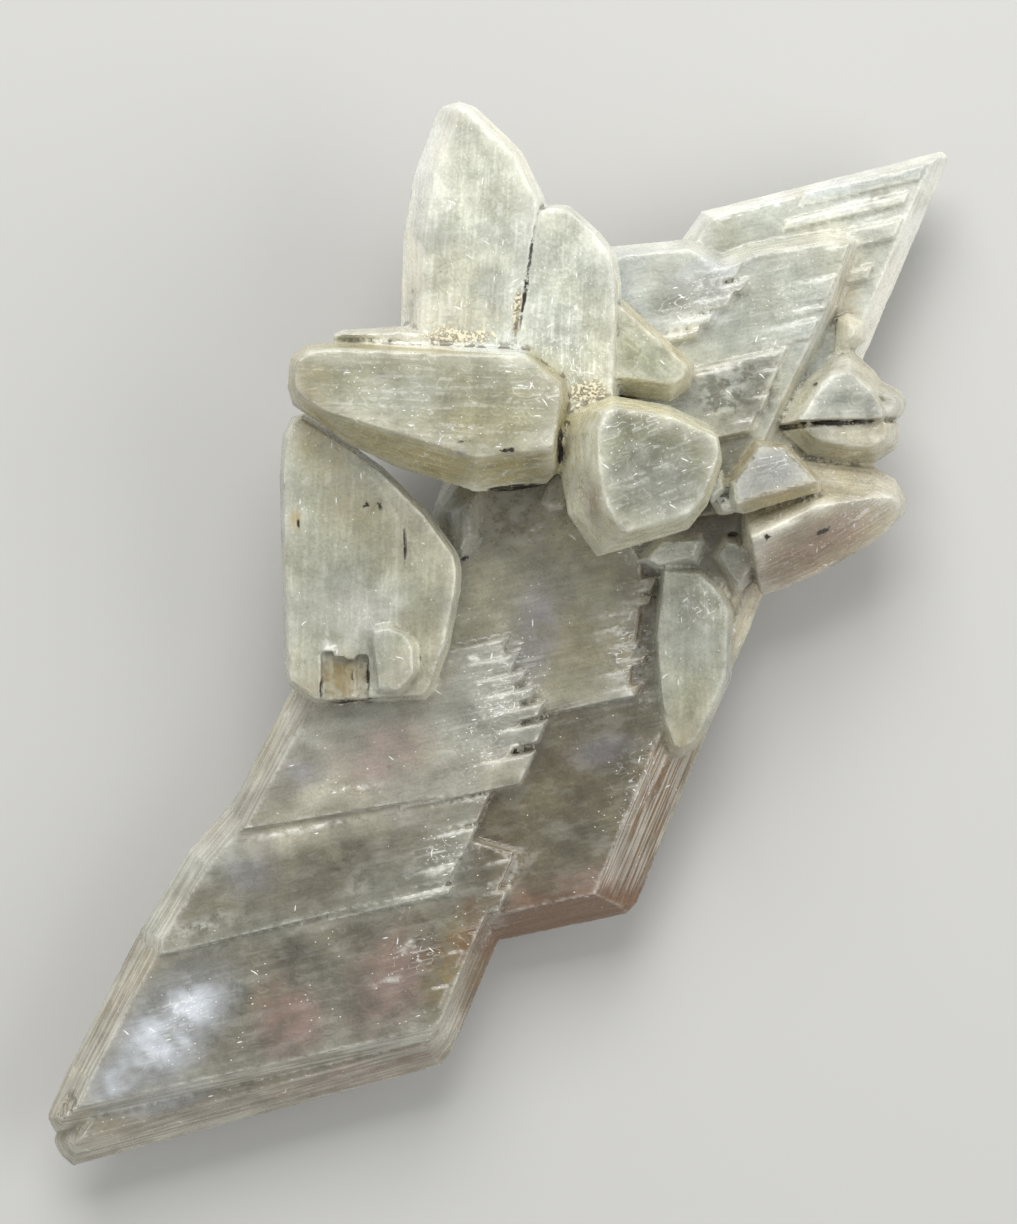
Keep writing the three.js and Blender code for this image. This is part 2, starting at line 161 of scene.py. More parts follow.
@dataclass(frozen=True)
class Blade:
    """One crystal of the cluster: the box it fills in the drawing, and how it looks.

    The centre and size are in millimetres, and lean turns the box. Grain is the direction of
    the growth lines. Both are in degrees from +X. Haze holds light back, smoke darkens with
    smudges and painted shade, steps raises growth steps, fibre draws threads on the side faces,
    and worn softens the edges. Side is the side faces' tint, most often paler than the top:
    painted light on faces that the lamps leave darker.
    """

    name: str
    centre: tuple[float, float, float]
    size: tuple[float, float, float]
    lean: float
    grain: float
    tint: str
    haze: float
    smoke_and_shade: float = 0.1
    steps: float = 0.3
    fibre: float = 0.0
    side: str = "#e0ded0"
    worn: float = 0.1

    def reach(self, drawn: np.ndarray, height: np.ndarray) -> np.ndarray:
        """Says how far points lie from the box's middle, as a share of its half sizes.

        Args:
            drawn: the points' places in the drawing.
            height: their heights, in millimetres.

        Returns:
            For each point the largest of the three shares, under 1 inside the box.
        """
        angle = math.radians(self.lean)
        along = np.array([math.cos(angle), math.sin(angle)])
        across = np.array([-along[1], along[0]])
        off = drawn - np.array(self.centre[:2])
        shares = [
            np.abs(off @ along) / (self.size[0] / 2),
            np.abs(off @ across) / (self.size[1] / 2),
            np.abs(height - self.centre[2]) / (self.size[2] / 2),
        ]
        return np.max(shares, axis=0)


class Mark(Enum):
    """What a local mark on a blade is."""

    SILK_SHEEN = "silk_sheen"
    SMOKE = "smoke_and_shade"
    VIOLET = "violet"
    BLUSH = "blush"
    RUST = "rust"
    AMBER = "amber"
    CHALK_AND_LIGHT = "chalk_and_light"
    CLAY = "clay"
    PIT_AND_SHADOW = "pit_and_shadow"
    GLINT = "glint"


@dataclass(frozen=True)
class Spot:
    """A mark on the front of the cluster: an ellipse in the drawing, in millimetres.

    Lean turns it, in degrees from +X. The amount is how strong it is in its middle, and it
    stays that strong until full_until, a share of its radii.
    """

    centre: tuple[float, float]
    radii: tuple[float, float]
    lean: float = 0.0
    amount: float = 1.0
    full_until: ClassVar[float] = 0.25

    def strength(self, drawn: np.ndarray) -> np.ndarray:
        """Says how strongly the mark shows at points of the drawing.

        Args:
            drawn: the points' places in the drawing.

        Returns:
            The mark's amount in the middle, fading smoothly to 0 a little past its rim.
        """
        angle = math.radians(self.lean)
        along = np.array([math.cos(angle), math.sin(angle)])
        across = np.array([-along[1], along[0]])
        off = drawn - np.array(self.centre)
        reach = np.hypot((off @ along) / self.radii[0], (off @ across) / self.radii[1])
        share = np.clip(self.full_until + 1 - reach, 0, 1)
        return self.amount * share * share * (3 - 2 * share)


# The growth lines of the trunk, in degrees from +X.
GRAIN = 12.5

# Tints are paler on the crown and darker on the lower blades: partly their own tone, partly painted
# light that falls from the +Y side.
BLADES = [
    Blade(
        "main plate", (5, -4, 8.2), (66, 27, 14), 66, GRAIN, "#89826c", 0.45, 0.3, 0.3, 0.7,
        side="#846440",
    ),
    Blade("main plate skin", (5, 4, 13.9), (26, 20, 2.2), 90, GRAIN, "#beb99d", 0.5, 0.25, 0.3),
    Blade(
        "tip plate", (33, 37, 8.6), (30, 16, 9), 66, GRAIN, "#c3c9c2", 0.8, 0.1, 0.3, 0.6,
        side="#eeeee4",
    ),
    Blade(
        "upper terrace", (26, 29, 11.6), (30, 16, 9), 66, GRAIN, "#cacfc2", 0.65, 0.2, 0.3, 0.9,
        side="#dcdccd",
    ),
    Blade(
        "middle terrace", (21.5, 23.4, 15.2), (14, 14, 4), 66, GRAIN, "#85877a", 0.72, 0.3, 0.3, 0.6,
    ),
    Blade(
        "upper left terrace", (13, 35, 11.8), (22, 10, 10), 0, GRAIN, "#c3c8c2", 0.7, 0.2, 0.3,
        side="#e8ebe6",
    ),
    Blade(
        "lower blade tip", (-24, -37, 10.5), (46, 15, 13), 12.5, 14, "#918d7d", 0.5, 0.3, 0.3, 0.7,
        side="#b8b09c", worn=0.25,
    ),
    Blade(
        "lower blade middle", (-18, -25, 11.5), (36, 10, 13), 12.5, 14, "#9b9989", 0.5, 0.3, 0.3, 0.7,
        side="#c7c7b8", worn=0.15,
    ),
    Blade(
        "lower blade upper", (-10, -11, 12), (36, 15, 14), 12.5, 14, "#c6c4b4", 0.5, 0.2, 0.3, 0.7,
        side="#c6c0ae",
    ),
    Blade(
        "inset blade", (19.5, -2.5, 12.4), (20, 8, 9), 92, 91, "#c9c9ae", 0.5, 0.05,
        side="#d8d8c4", worn=0.4,
    ),
    Blade(
        "tall blade", (-3, 38, 25), (31, 15, 10), 88, 86, "#cacdbe", 0.8, 0.1, 0.5,
        side="#ecece0", worn=1.0,
    ),
    Blade(
        "second tall blade", (7.4, 32, 22), (24, 11.5, 10), 90, 89, "#c3c5b3", 0.8, 0.0,
        side="#e6e8dc", worn=1.0,
    ),
    Blade(
        "cross blade", (-7, 23, 26), (30, 15, 13), 0, -2, "#aaa88c", 0.7, 0.15,
        side="#b9b083", worn=1.0,
    ),
    Blade("cross blade sliver", (-11, 29.8, 24.4), (11, 2.6, 6.5), 0, -2, "#dcdccf", 0.7, 0.1),
    Blade(
        "left blade", (-12.6, 7, 19.4), (30, 19, 11), 90, 88, "#b7b7a0", 0.65, 0.1,
        side="#d6d6c4", worn=0.4,
    ),
    Blade(
        "front block", (14.4, 16, 24), (17, 16.5, 22), 15, 22, "#9a997c", 0.55, 0.1,
        side="#f4f0cc", worn=1.0,
    ),
    Blade("flake", (5.8, 14.2, 15), (3.6, 4.2, 6), 90, 80, "#c8c7b0", 0.6),
    Blade(
        "wedge", (15, 28.4, 18.8), (12, 9, 10.5), -40, -38, "#9b9e84", 0.75, 0.0,
        side="#cfc8a8", worn=0.6,
    ),
    Blade(
        "upper knob", (34.6, 24.6, 12.4), (14, 8, 11), 0, 4, "#8f948a", 0.65, 0.1,
        side="#cfccb8", worn=1.0,
    ),
    Blade(
        "lower knob", (34.4, 19.1, 11.4), (13, 4.6, 10.5), 0, 2, "#d2cfb6", 0.6, 0.05,
        side="#ccc8ae", worn=1.0,
    ),
    Blade(
        "small knob", (35.2, 30, 12.6), (4, 4.6, 6), 90, 60, "#d0cdb4", 0.7, 0.05,
        side="#d0cdb4", worn=1.0,
    ),
    Blade(
        "right wedge", (32.4, 10.6, 12), (19, 14, 16), 18, 27, "#cdcaac", 0.65, 0.1,
        side="#c9c0a6", worn=1.0,
    ),
    Blade(
        "small plate", (28, 15.8, 19.6), (10.5, 8.2, 8), 15, 14, "#7d7f70", 0.5, 0.2,
        side="#cdbf94", worn=0.4,
    ),
    Blade("chips", (22, 14, 19), (3.2, 5.2, 6), 90, 70, "#d8d8c8", 0.7),
    Blade("shaded crystal", (23.6, 7, 12.4), (6.4, 6.4, 8), 50, 40, "#a9a797", 0.4),
    Blade("ledge", (17.4, 8.2, 13.6), (7.6, 4.4, 6), 5, 5, "#cfcebd", 0.6, 0.1, 0.3, 0.5),
    Blade("corner crystal", (-3.8, 10.6, 14), (7, 4.6, 9), 80, 75, "#c8c6b4", 0.5),
    Blade("back of the crown", (0, 31, 13.6), (26, 18, 10), 90, 88, "#c9c8b8", 0.6),
    Blade("back of the cross blade", (-6, 22.4, 15.8), (24, 11, 10), -8, -6, "#c4c2ae", 0.6),
    Blade("back of the left blade", (-13, 3, 11.4), (19, 14, 9), 80, 82, "#c4c2b2", 0.6),
    Blade("back of the right wedge", (28, 11, 7.6), (20, 11, 7.5), 20, 25, "#bdb7a4", 0.6),
]

SPOTS = {
    # Painted sheen on bright, blue-white satin places.
    Mark.SILK_SHEEN: (
        Spot((-32.6, -39.0), (9.2, 4.8), 48, 1.05),
        Spot((-37.0, -44.0), (5.6, 3.0), 40, 0.92),
        Spot((-14.4, 2.6), (6.4, 4.4), 0, 0.3),
        Spot((-9.6, 24.0), (6.0, 2.6), 0, 0.25),
        Spot((16.0, 15.6), (5.0, 4.6), 0, 0.25),
        Spot((21.0, 35.8), (5.6, 2.4), 14, 0.4),
        Spot((19.6, 0.6), (3.4, 5.0), 0, 0.3),
        Spot((-27.4, -22.6), (6.0, 2.4), 12, 0.3),
        Spot((-34.0, -46.4), (6.0, 2.0), 12, 0.6),
        Spot((-5.2, 13.0), (1.4, 2.6), 30, 1.0),
    ),
    # Dark smudges, and painted shade on clear places and in hollows.
    Mark.SMOKE: (
        Spot((-26.4, -36.6), (2.6, 2.0), 15, 1.5),
        Spot((-26.8, -35.8), (1.5, 1.0), 30, 2.4),
        Spot((-3.2, -31.8), (2.8, 6.6), -24, 1.7),
        Spot((-15.2, -22.6), (4.6, 3.0), 10, 0.8),
        Spot((-21.0, -31.8), (3.2, 1.8), 35, 1.0),
        Spot((-14.4, -40.0), (3.4, 0.7), 12, 0.8),
        Spot((-39.0, -47.8), (2.4, 0.9), 10, 0.9),
        Spot((-41.6, -49.6), (2.2, 0.5), 12, 0.9),
        Spot((-29.2, -25.5), (2.6, 1.2), 10, 0.5),
        Spot((-22.0, -16.2), (3.0, 1.4), 10, 0.5),
        Spot((12.1, 4.6), (1.8, 1.3), 0, 0.7),
        Spot((3.8, 8.4), (3.0, 1.2), 20, 0.5),
        Spot((-8.6, 33.4), (0.8, 2.8), 0, 0.8),
        Spot((-0.8, 36.0), (2.2, 1.1), -10, 0.7),
        Spot((-7.6, 38.4), (1.4, 1.2), 0, 0.5),
        Spot((-11.8, 26.0), (1.8, 0.8), -20, 0.8),
        Spot((-12.0, 12.8), (0.9, 0.6), 0, 1.0),
        Spot((-16.6, 0.6), (1.6, 1.0), 0, 0.6),
        Spot((38.0, 43.8), (2.4, 0.8), 12, 0.5),
        Spot((42.2, 43.2), (1.2, 1.6), 0, 0.5),
        Spot((24.0, 24.4), (5.6, 4.0), 12, 1.4),
        Spot((17.0, 33.2), (3.6, 2.2), 15, 0.7),
        Spot((27.0, 31.2), (3.6, 1.1), 12, 0.6),
        Spot((-2.0, 18.2), (4.4, 0.8), 2, 0.8),
        Spot((-0.6, 16.6), (4.6, 0.6), 0, 0.7),
        Spot((-15.4, -4.6), (3.0, 2.6), 0, 1.5),
        Spot((-5.4, -32.4), (6.6, 7.4), -20, 1.4),
        Spot((-13.4, -41.0), (5.0, 1.6), 14, 0.7),
        Spot((-28.0, -31.4), (7.0, 0.7), 14, 0.7),
        Spot((9.0, -18.0), (7.0, 5.0), 12, 0.5),
        Spot((-6.3, 39.8), (3.0, 1.0), -4, 0.6),
        Spot((-13.0, 26.4), (4.2, 1.2), -4, 0.6),
        Spot((1.6, 17.4), (4.4, 2.6), 0, 0.5),
    ),
    # Faint violet veils.
    Mark.VIOLET: (
        Spot((4.0, 0.6), (3.0, 7.0), -8, 1.0),
        Spot((10.6, -11.6), (4.0, 2.0), 12, 0.7),
        Spot((-20.0, -13.8), (3.4, 2.0), 10, 0.8),
        Spot((-24.6, -24.4), (3.4, 2.4), 12, 0.7),
        Spot((-9.6, -4.0), (2.0, 1.6), 0, 0.4),
    ),
    # Faint pink veils.
    Mark.BLUSH: (
        Spot((-11.6, -12.0), (5.6, 3.6), 25, 0.9),
        Spot((-21.0, -38.6), (4.0, 4.8), 0, 1.1),
        Spot((-11.0, -34.6), (6.6, 4.6), 60, 0.9),
        Spot((7.0, -25.4), (9.0, 2.4), 12, 0.8),
        Spot((4.0, -26.4), (3.4, 0.9), 10, 1.0),
        Spot((-13.0, -43.6), (8.0, 1.8), 13, 0.7),
        Spot((34.0, 10.4), (5.0, 2.0), 30, 0.6),
    ),
    # Brown stains, most of them along the lower sides.
    Mark.RUST: (
        Spot((9.4, 13.4), (1.1, 2.8), 8, 0.9),
        Spot((31.0, 8.2), (8.0, 3.4), 26, 0.75),
        Spot((-1.6, -32.6), (1.8, 7.0), -24, 0.6),
        Spot((7.0, -29.0), (13.0, 3.2), 12, 2.0),
        Spot((-20.0, -45.4), (22.0, 1.6), 13, 0.35),
        Spot((3.4, -26.6), (2.8, 1.0), 10, 0.7),
        Spot((-2.8, -27.4), (1.0, 1.6), 0, 0.5),
        Spot((-8.6, -42.4), (4.0, 1.4), 20, 0.5),
    ),
    # Yellow stains.
    Mark.AMBER: (
        Spot((-18.6, 24.8), (2.6, 3.2), 0, 0.6),
        Spot((-6.0, 16.4), (1.2, 0.6), -20, 0.8),
        Spot((-8.8, 18.4), (0.7, 0.7), 0, 0.6),
        Spot((-18.8, 19.4), (2.0, 2.2), 0, 0.6),
        Spot((-16.4, 17.0), (1.6, 2.6), 0, 0.35),
        Spot((-20.3, 11.5), (0.8, 1.1), 0, 1.2),
        Spot((-15.4, -4.4), (3.0, 2.8), 0, 1.2),
        Spot((-3.6, -33.0), (3.6, 6.8), -24, 0.9),
        Spot((-19.2, -5.6), (1.6, 1.2), 0, 0.6),
        Spot((-10.2, -4.2), (2.2, 2.0), 0, 0.35),
        Spot((34.6, 33.2), (2.0, 4.0), 0, 0.6),
        Spot((29.6, 44.0), (1.6, 0.9), 10, 0.45),
        Spot((38.6, 21.0), (1.6, 0.9), 0, 0.6),
        Spot((28.0, 13.9), (4.4, 0.8), 12, 0.7),
        Spot((18.4, -10.8), (2.4, 2.0), 0, 0.6),
        Spot((-4.4, 51.4), (2.0, 1.2), 0, 0.4),
        Spot((-3.0, 31.6), (5.0, 2.6), 0, 0.4),
        Spot((-15.0, 12.6), (4.6, 3.6), -40, 0.4),
        Spot((0.6, 11.4), (4.0, 2.6), 0, 0.4),
    ),
    # White, bruised places and broken lips, and painted light over shaded places.
    Mark.CHALK_AND_LIGHT: (
        # Painted light over shadow: under the crown on the trunk, in the slot by the sliver, on the
        # corner crystal and in the notch's slots.
        Spot((1.6, 11.8), (7.4, 3.8), 0, 0.6),
        Spot((-14.4, 29.7), (2.6, 0.5), 0, 0.9),
        Spot((-5.4, 13.2), (1.0, 2.2), 30, 0.9),
        Spot((2.2, -11.2), (1.8, 0.6), 12, 1.2),
        Spot((8.4, 14.6), (2.2, 6.0), 8, 0.6),
        Spot((-16.6, -1.4), (1.2, 0.5), 0, 1.4),
        Spot((1.5, 34.2), (0.8, 0.9), 0, 0.9),
        Spot((-4.6, 32.2), (1.6, 0.9), 0, 0.5),
        Spot((-2.4, -2.4), (0.9, 0.5), -15, 1.2),
        Spot((0.6, 1.2), (0.5, 0.4), 30, 1.2),
        Spot((-14.2, -24.6), (1.2, 2.2), 0, 0.4),
        Spot((14.0, -6.2), (1.8, 1.3), -10, 1.0),
        Spot((9.0, 20.8), (1.4, 0.7), 0, 0.7),
        Spot((-20.2, -19.6), (8.0, 0.4), 11, 0.9),
        Spot((-15.0, -15.4), (3.8, 0.4), 6, 1.0),
        Spot((-30.6, -29.4), (6.0, 1.0), 16, 0.6),
        Spot((1.6, -23.6), (0.7, 3.2), -18, 0.7),
        Spot((-0.6, -29.2), (0.7, 2.4), -24, 0.4),
        Spot((-4.8, -36.0), (0.6, 2.6), -26, 0.4),
        Spot((-9.0, -31.4), (0.5, 1.6), -20, 0.9),
        Spot((-10.8, -34.6), (2.4, 0.4), 14, 0.8),
        Spot((-5.4, -23.6), (2.6, 0.6), 10, 0.8),
        Spot((14.2, -2.0), (0.9, 3.4), 0, 0.7),
        Spot((14.8, 3.8), (0.8, 3.0), 0, 0.6),
        Spot((-20.0, -9.6), (4.0, 0.6), 55, 0.6),
    ),
    # Clay grains in the seams.
    Mark.CLAY: (
        Spot((8.9, 24.2), (2.3, 1.2), 0, 1.8),
        Spot((-3.4, 29.8), (5.2, 0.8), 0, 1.25),
        Spot((1.9, 32.4), (0.5, 3.0), -4, 1.5),
        Spot((8.3, 14.6), (0.9, 4.2), 6, 0.55),
        Spot((6.2, 19.0), (0.5, 3.6), 0, 0.6),
        Spot((34.0, 21.1), (6.0, 0.4), 0, 0.6),
        Spot((-15.2, -6.6), (3.6, 0.5), 0, 0.7),
    ),
    # Small dark pits, hairline cracks and painted shadows in open seams.
    Mark.PIT_AND_SHADOW: (
        Spot((-20.0, 11.1), (0.36, 0.6), 20, 1.3),
        Spot((32.6, 10.4), (1.2, 0.36), 28, 1.2),
        Spot((27.0, 9.6), (0.9, 0.4), -60, 1.0),
        Spot((6.2, 18.7), (0.45, 3.2), 0, 1.2),
        Spot((1.6, 14.7), (4.0, 0.45), 5, 1.1),
        Spot((0.7, 18.5), (1.3, 0.42), -8, 1.4),
        Spot((-3.4, 19.3), (1.2, 0.34), -4, 1.4),
        Spot((8.4, 24.6), (0.5, 0.5), 0, 0.9),
        Spot((-11.9, 13.0), (0.7, 0.4), -10, 1.2),
        Spot((-13.2, 12.9), (0.6, 0.3), 0, 1.0),
        Spot((31.7, 25.0), (0.6, 0.5), 0, 0.8),
        Spot((34.0, 21.2), (5.8, 0.4), 1, 1.1),
        Spot((19.9, 10.7), (0.5, 0.4), 0, 1.0),
        Spot((23.5, 10.0), (0.9, 0.5), 0, 1.0),
        Spot((-3.3, 7.6), (0.7, 0.4), 30, 1.0),
        Spot((-13.0, -4.2), (0.34, 2.6), 0, 0.85),
        Spot((-17.7, -5.4), (0.32, 1.5), 0, 0.85),
        Spot((-14.6, -4.6), (0.3, 1.8), 0, 0.75),
        Spot((-12.8, -6.6), (0.7, 0.4), 0, 1.1),
        Spot((-15.4, -6.7), (2.8, 0.3), 2, 0.9),
        Spot((-9.3, 9.0), (0.3, 3.6), 0, 0.85),
        Spot((-7.7, -2.0), (0.3, 2.0), 0, 0.8),
        Spot((2.9, 35.6), (0.34, 7.8), -8, 0.95),
    ),
    # Places with many scratches and specks, and painted glints.
    Mark.GLINT: (
        Spot((7.2, 27.4), (5.0, 4.0), 0, 0.9),
        Spot((6.0, 24.4), (3.0, 2.4), 0, 1.0),
        Spot((14.0, 21.6), (6.4, 2.2), 0, 0.8),
        Spot((1.8, 25.6), (5.0, 3.0), -10, 0.6),
        Spot((15.4, 15.6), (6.0, 6.0), 0, 0.45),
        Spot((20.4, 3.0), (3.6, 3.4), 0, 0.9),
        Spot((0.6, -5.8), (6.6, 3.4), 66, 0.9),
        Spot((-2.0, -11.0), (5.0, 3.0), 60, 0.7),
        Spot((13.4, -1.6), (4.6, 3.0), 80, 0.9),
        Spot((16.0, 8.6), (5.0, 1.6), 10, 0.8),
        Spot((13.6, -15.0), (6.6, 3.0), 66, 0.5),
        Spot((-4.8, -21.6), (4.2, 2.4), 20, 0.7),
        Spot((-8.0, -32.0), (3.6, 2.4), 30, 0.6),
        Spot((-1.4, -29.0), (5.6, 2.2), 66, 0.4),
        Spot((21.0, 34.0), (5.6, 3.0), 14, 0.9),
        Spot((28.6, 33.4), (6.6, 5.0), 40, 0.45),
        Spot((28.0, 17.6), (3.6, 2.0), 0, 0.7),
        Spot((37.0, 13.4), (4.6, 3.0), 20, 0.7),
        Spot((-3.0, 44.6), (4.6, 5.0), 0, 0.3),
        Spot((-13.0, 1.0), (6.0, 4.0), 0, 0.2),
        Spot((-32.0, -38.6), (7.0, 4.0), 48, 0.6),
    ),
}


@dataclass(frozen=True)
class Fade:
    """A value that changes evenly while what it follows goes from low to high."""

    low: float = 0.0
    high: float = 1.0
    at_low: float = 0.0
    at_high: float = 1.0

    def over(self, followed: bpy.types.NodeSocket) -> dict[int, Any]:
        """Returns the inputs of a map range that makes this value from a socket."""
        return {0: followed, 1: self.low, 2: self.high, 3: self.at_low, 4: self.at_high}


@dataclass(frozen=True)
class FrostedSelenite:
    """Selenite as it grew: clear to cloudy gypsum, its faces etched to a satin frost.

    The clear part lets the eye in and bends what lies behind it. The cloudy part is fine
    fluid veils, which scatter light like milk. Etched growth lines make the faces satin.
    """

    ior: float = 1.525
    smoke_and_shade_colour: str = "#56533f"
    silk_sheen_colour: str = "#d9dfe6"
    violet_colour: str = "#8b8898"
    blush_colour: str = "#b28f84"
    rust_colour: str = "#7a5434"
    amber_colour: str = "#b09a66"
    chalk_and_highlight_colour: str = "#f1f0e2"
    clay_colour: str = "#7f7254"
    clay_pale: str = "#dad4bb"
    pit_and_shadow_colour: str = "#2c261c"
    crack_and_shade_colour: str = "#595039"
    scratch_and_glint_colour: str = "#fcfcf6"
    body_colour: str = "#d9d3c4"
    cool_hue: tuple[float, float, float, float] = (0.98, 0.995, 1.02, 1.0)
    warm_hue: tuple[float, float, float, float] = (1.04, 1.0, 0.92, 1.0)
    absorption_per_metre: float = 40.0
    clearest: float = 0.95
    noise_roughness: float = 0.65
    ring_steps: float = 9.0
    bend_mm: float = 0.5
    hill_step: float = 0.125
    hill_rise_mm: float = 0.22
    hue: Fade = Fade(0.38, 0.62)
    ring: Fade = Fade(0.0, 0.06, 1.0, 0.0)
    ring_glint: Fade = Fade(0.0, 1.0, 0.12, 1.5)
    veil: Fade = Fade(0.5, 0.3, 0.0, 0.35)
    worn_cloud: Fade = Fade(0.42, 0.62, 0.3, 1.6)
    hairline: Fade = Fade(0.56, 0.66, 0.0, 0.8)
    hairline_bit: Fade = Fade(0.46, 0.54)
    pale_clay: Fade = Fade(0.4, 0.6)
    cloudiness: Fade = Fade(0.35, 0.7, -0.1, 0.15)
    satin: Fade = Fade(0.3, 0.7, 0.2, 0.38)

    def build(self) -> bpy.types.Material:
        """Builds the material.

        Returns:
            The finished material, which reads the attributes that the cluster carries.
        """
        material = bpy.data.materials.new("selenite, etched and cloudy")
        material.use_nodes = True
        tree = material.node_tree
        tree.nodes.clear()
        node = partial(add_node, tree)
        marks = {
            name: node("ShaderNodeAttribute", {}, "Fac", attribute_name=name)
            for name in ("haze", "rim", "milk", "crease", "fibre", *[mark.value for mark in Mark])
        }
        marks["tint"] = node("ShaderNodeAttribute", {}, "Vector", attribute_name="tint")
        patterns = self.patterns(node)
        shares = self.shares(node, marks, patterns)
        crystal = node(
            "ShaderNodeBsdfPrincipled",
            {
                "Base Color": self.colour(node, marks, patterns, shares),
                "Roughness": self.roughness(node, patterns, shares),
                "IOR": self.ior,
                "Transmission Weight": self.clearness(node, marks, patterns, shares),
                "Normal": self.relief(node, patterns),
            },
        )
        inside = node(
            "ShaderNodeVolumeAbsorption",
            {"Color": linear(self.body_colour), "Density": self.absorption_per_metre},
        )
        node("ShaderNodeOutputMaterial", {"Surface": crystal, "Volume": inside})
        return material

    def patterns(self, node: NodeAdder) -> Sockets:
        """Adds the patterns that lie on the faces or run through the crystal.

        Args:
            node: adds a node to the material.

        Returns:
            The patterns' sockets by name, each from 0 to 1.
        """
        place = node("ShaderNodeTexCoord", {}, "Object")
        growth = node("ShaderNodeAttribute", {}, "Vector", attribute_name="growth")
        found = {}
        # Real growth lines lie about 0.05 mm apart, too fine to show, so these are coarser.
        # Each pattern along the grain has its length and width in millimetres, and its detail.
        along_the_grain = (
            ("lines", 9.0, 0.36, 2.0),
            ("streaks", 3.6, 1.2, 2.0),
            ("hills", 4.4, 2.8, 2.0),
        )
        for name, length, width, detail in along_the_grain:
            scaled = {0: growth, "Scale": (length * MM, width * MM, MM)}
            scaled = node("ShaderNodeMapping", scaled, vector_type="TEXTURE")
            inputs = {0: scaled, "Scale": 1.0, "Detail": detail}
            found[name] = node("ShaderNodeTexNoise", inputs, noise_dimensions="2D")
        # Each pattern that runs through the crystal has its size in millimetres and its detail.
        through = (
            ("drift", 11.0, 1.0),
            ("clouds", 4.5, 2.0),
            ("mottle", 1.2, 3.0),
            ("grit", 0.3, 0.0),
        )
        for name, size, detail in through:
            inputs = {0: place, "Scale": 1 / (size * MM), "Detail": detail}
            inputs["Roughness"] = self.noise_roughness
            found[name] = node("ShaderNodeTexNoise", inputs)
        found["rings"] = self.rings(node, found["hills"])
        found.update(self.strokes(node, growth, found))
        return found

    def rings(self, node: NodeAdder, hills: bpy.types.NodeSocket) -> bpy.types.NodeSocket:
        """Draws the thin white lines that follow the steps of the growth hills.

        Args:
            node: adds a node to the material.
            hills: the growth hills' height.

        Returns:
            1 on the middle of a line and 0 beside it.
        """
        folded = {0: hills, 1: self.ring_steps}
        folded = node("ShaderNodeMath", folded, operation="MULTIPLY")
        folded = node("ShaderNodeMath", {0: folded, 1: 0.5}, operation="PINGPONG")
        return node("ShaderNodeMapRange", self.ring.over(folded))

    def strokes(self, node: NodeAdder, growth: bpy.types.NodeSocket, patterns: Sockets) -> Sockets:
        """Draws scratches and specks, partly painted glints, at most one to a cell, bent where the
        ground is uneven.

        Real ones are a few hundredths of a millimetre wide, and these are a little wider.

        Args:
            node: adds a node to the material.
            growth: the place in the face's plane, along the grain and across it.
            patterns: the patterns' sockets by name.

        Returns:
            For each kind, how white its marks are and the lot that each cell draws. The lot
            says whether the cell's mark is there.
        """
        bend = node("ShaderNodeCombineXYZ", {"X": patterns["mottle"], "Y": patterns["hills"]})
        bend = {0: bend, 1: (self.bend_mm * MM, self.bend_mm * MM, 0.0), 2: growth}
        bent = node("ShaderNodeVectorMath", bend, operation="MULTIPLY_ADD")
        # Each kind has its turn in radians, its cells' length and width in millimetres, and how
        # far its mark reaches from the cell's middle, as a share of the cell.
        kinds = (
            ("strokes along", 0.0, 3.0, 0.6, 0.13),
            ("strokes down", -0.9, 6.0, 0.9, 0.09),
            ("strokes up", 1.2, 7.0, 1.0, 0.08),
            ("specks", 0.0, 0.7, 0.5, 0.14),
        )
        found = {}
        for name, turn, length, width, reach in kinds:
            sizes = (length * MM, width * MM, MM)
            turned = {0: bent, "Rotation": (0.0, 0.0, turn), "Scale": sizes}
            turned = node("ShaderNodeMapping", turned, vector_type="TEXTURE")
            cells = {0: turned, "Scale": 1.0}
            cells = node("ShaderNodeTexVoronoi", cells, "Distance", voronoi_dimensions="2D")
            mark = Fade(0.5 * reach, reach, 1.0, 0.0)
            found[name] = node("ShaderNodeMapRange", mark.over(cells))
            found[name + " lot"] = cells.node.outputs["Color"]
        return found

    def shares(self, node: NodeAdder, marks: Sockets, patterns: Sockets) -> Sockets:
        """Breaks the marks up by the patterns, so that none has an even edge.

        Args:
            node: adds a node to the material.
            marks: the attributes' sockets by name.
            patterns: the patterns' sockets by name.

        Returns:
            How much each mark shows, from 0 to 1, by the mark's name.
        """
        # Each mark has the pattern that breaks it up, and how much that leaves of the mark.
        breaking = {
            "smoke_and_shade": ("mottle", Fade(0.4, 0.6, 0.05)),
            "silk_sheen": ("clouds", Fade(0.3, 0.62, 0.55)),
            "violet": ("clouds", Fade(0.3, 0.6, 0.4)),
            "blush": ("clouds", Fade(0.3, 0.62, 0.35)),
            "rust": ("mottle", Fade(0.32, 0.6, 0.55)),
            "amber": ("mottle", Fade(0.34, 0.6, 0.4)),
            "chalk_and_light": ("mottle", Fade(0.4, 0.58, 0.1)),
            "fibre": ("lines", Fade(0.42, 0.6, 0.1)),
            "clay": ("grit", Fade(0.3, 0.52, 0.3)),
            "pit_and_shadow": ("mottle", Fade(0.34, 0.52, 0.5)),
            "crease": ("mottle", Fade(0.46, 0.58, 0.0)),
            "rim": ("mottle", Fade(0.38, 0.6, 0.2)),
            "milk": ("clouds", Fade(0.3, 0.6, 0.5)),
        }
        shares = {}
        for name, (pattern, left) in breaking.items():
            left = left.over(patterns[pattern])
            left = node("ShaderNodeMapRange", left, interpolation_type="SMOOTHSTEP")
            inputs = {0: marks[name], 1: left}
            shares[name] = node("ShaderNodeMath", inputs, operation="MULTIPLY", use_clamp=True)
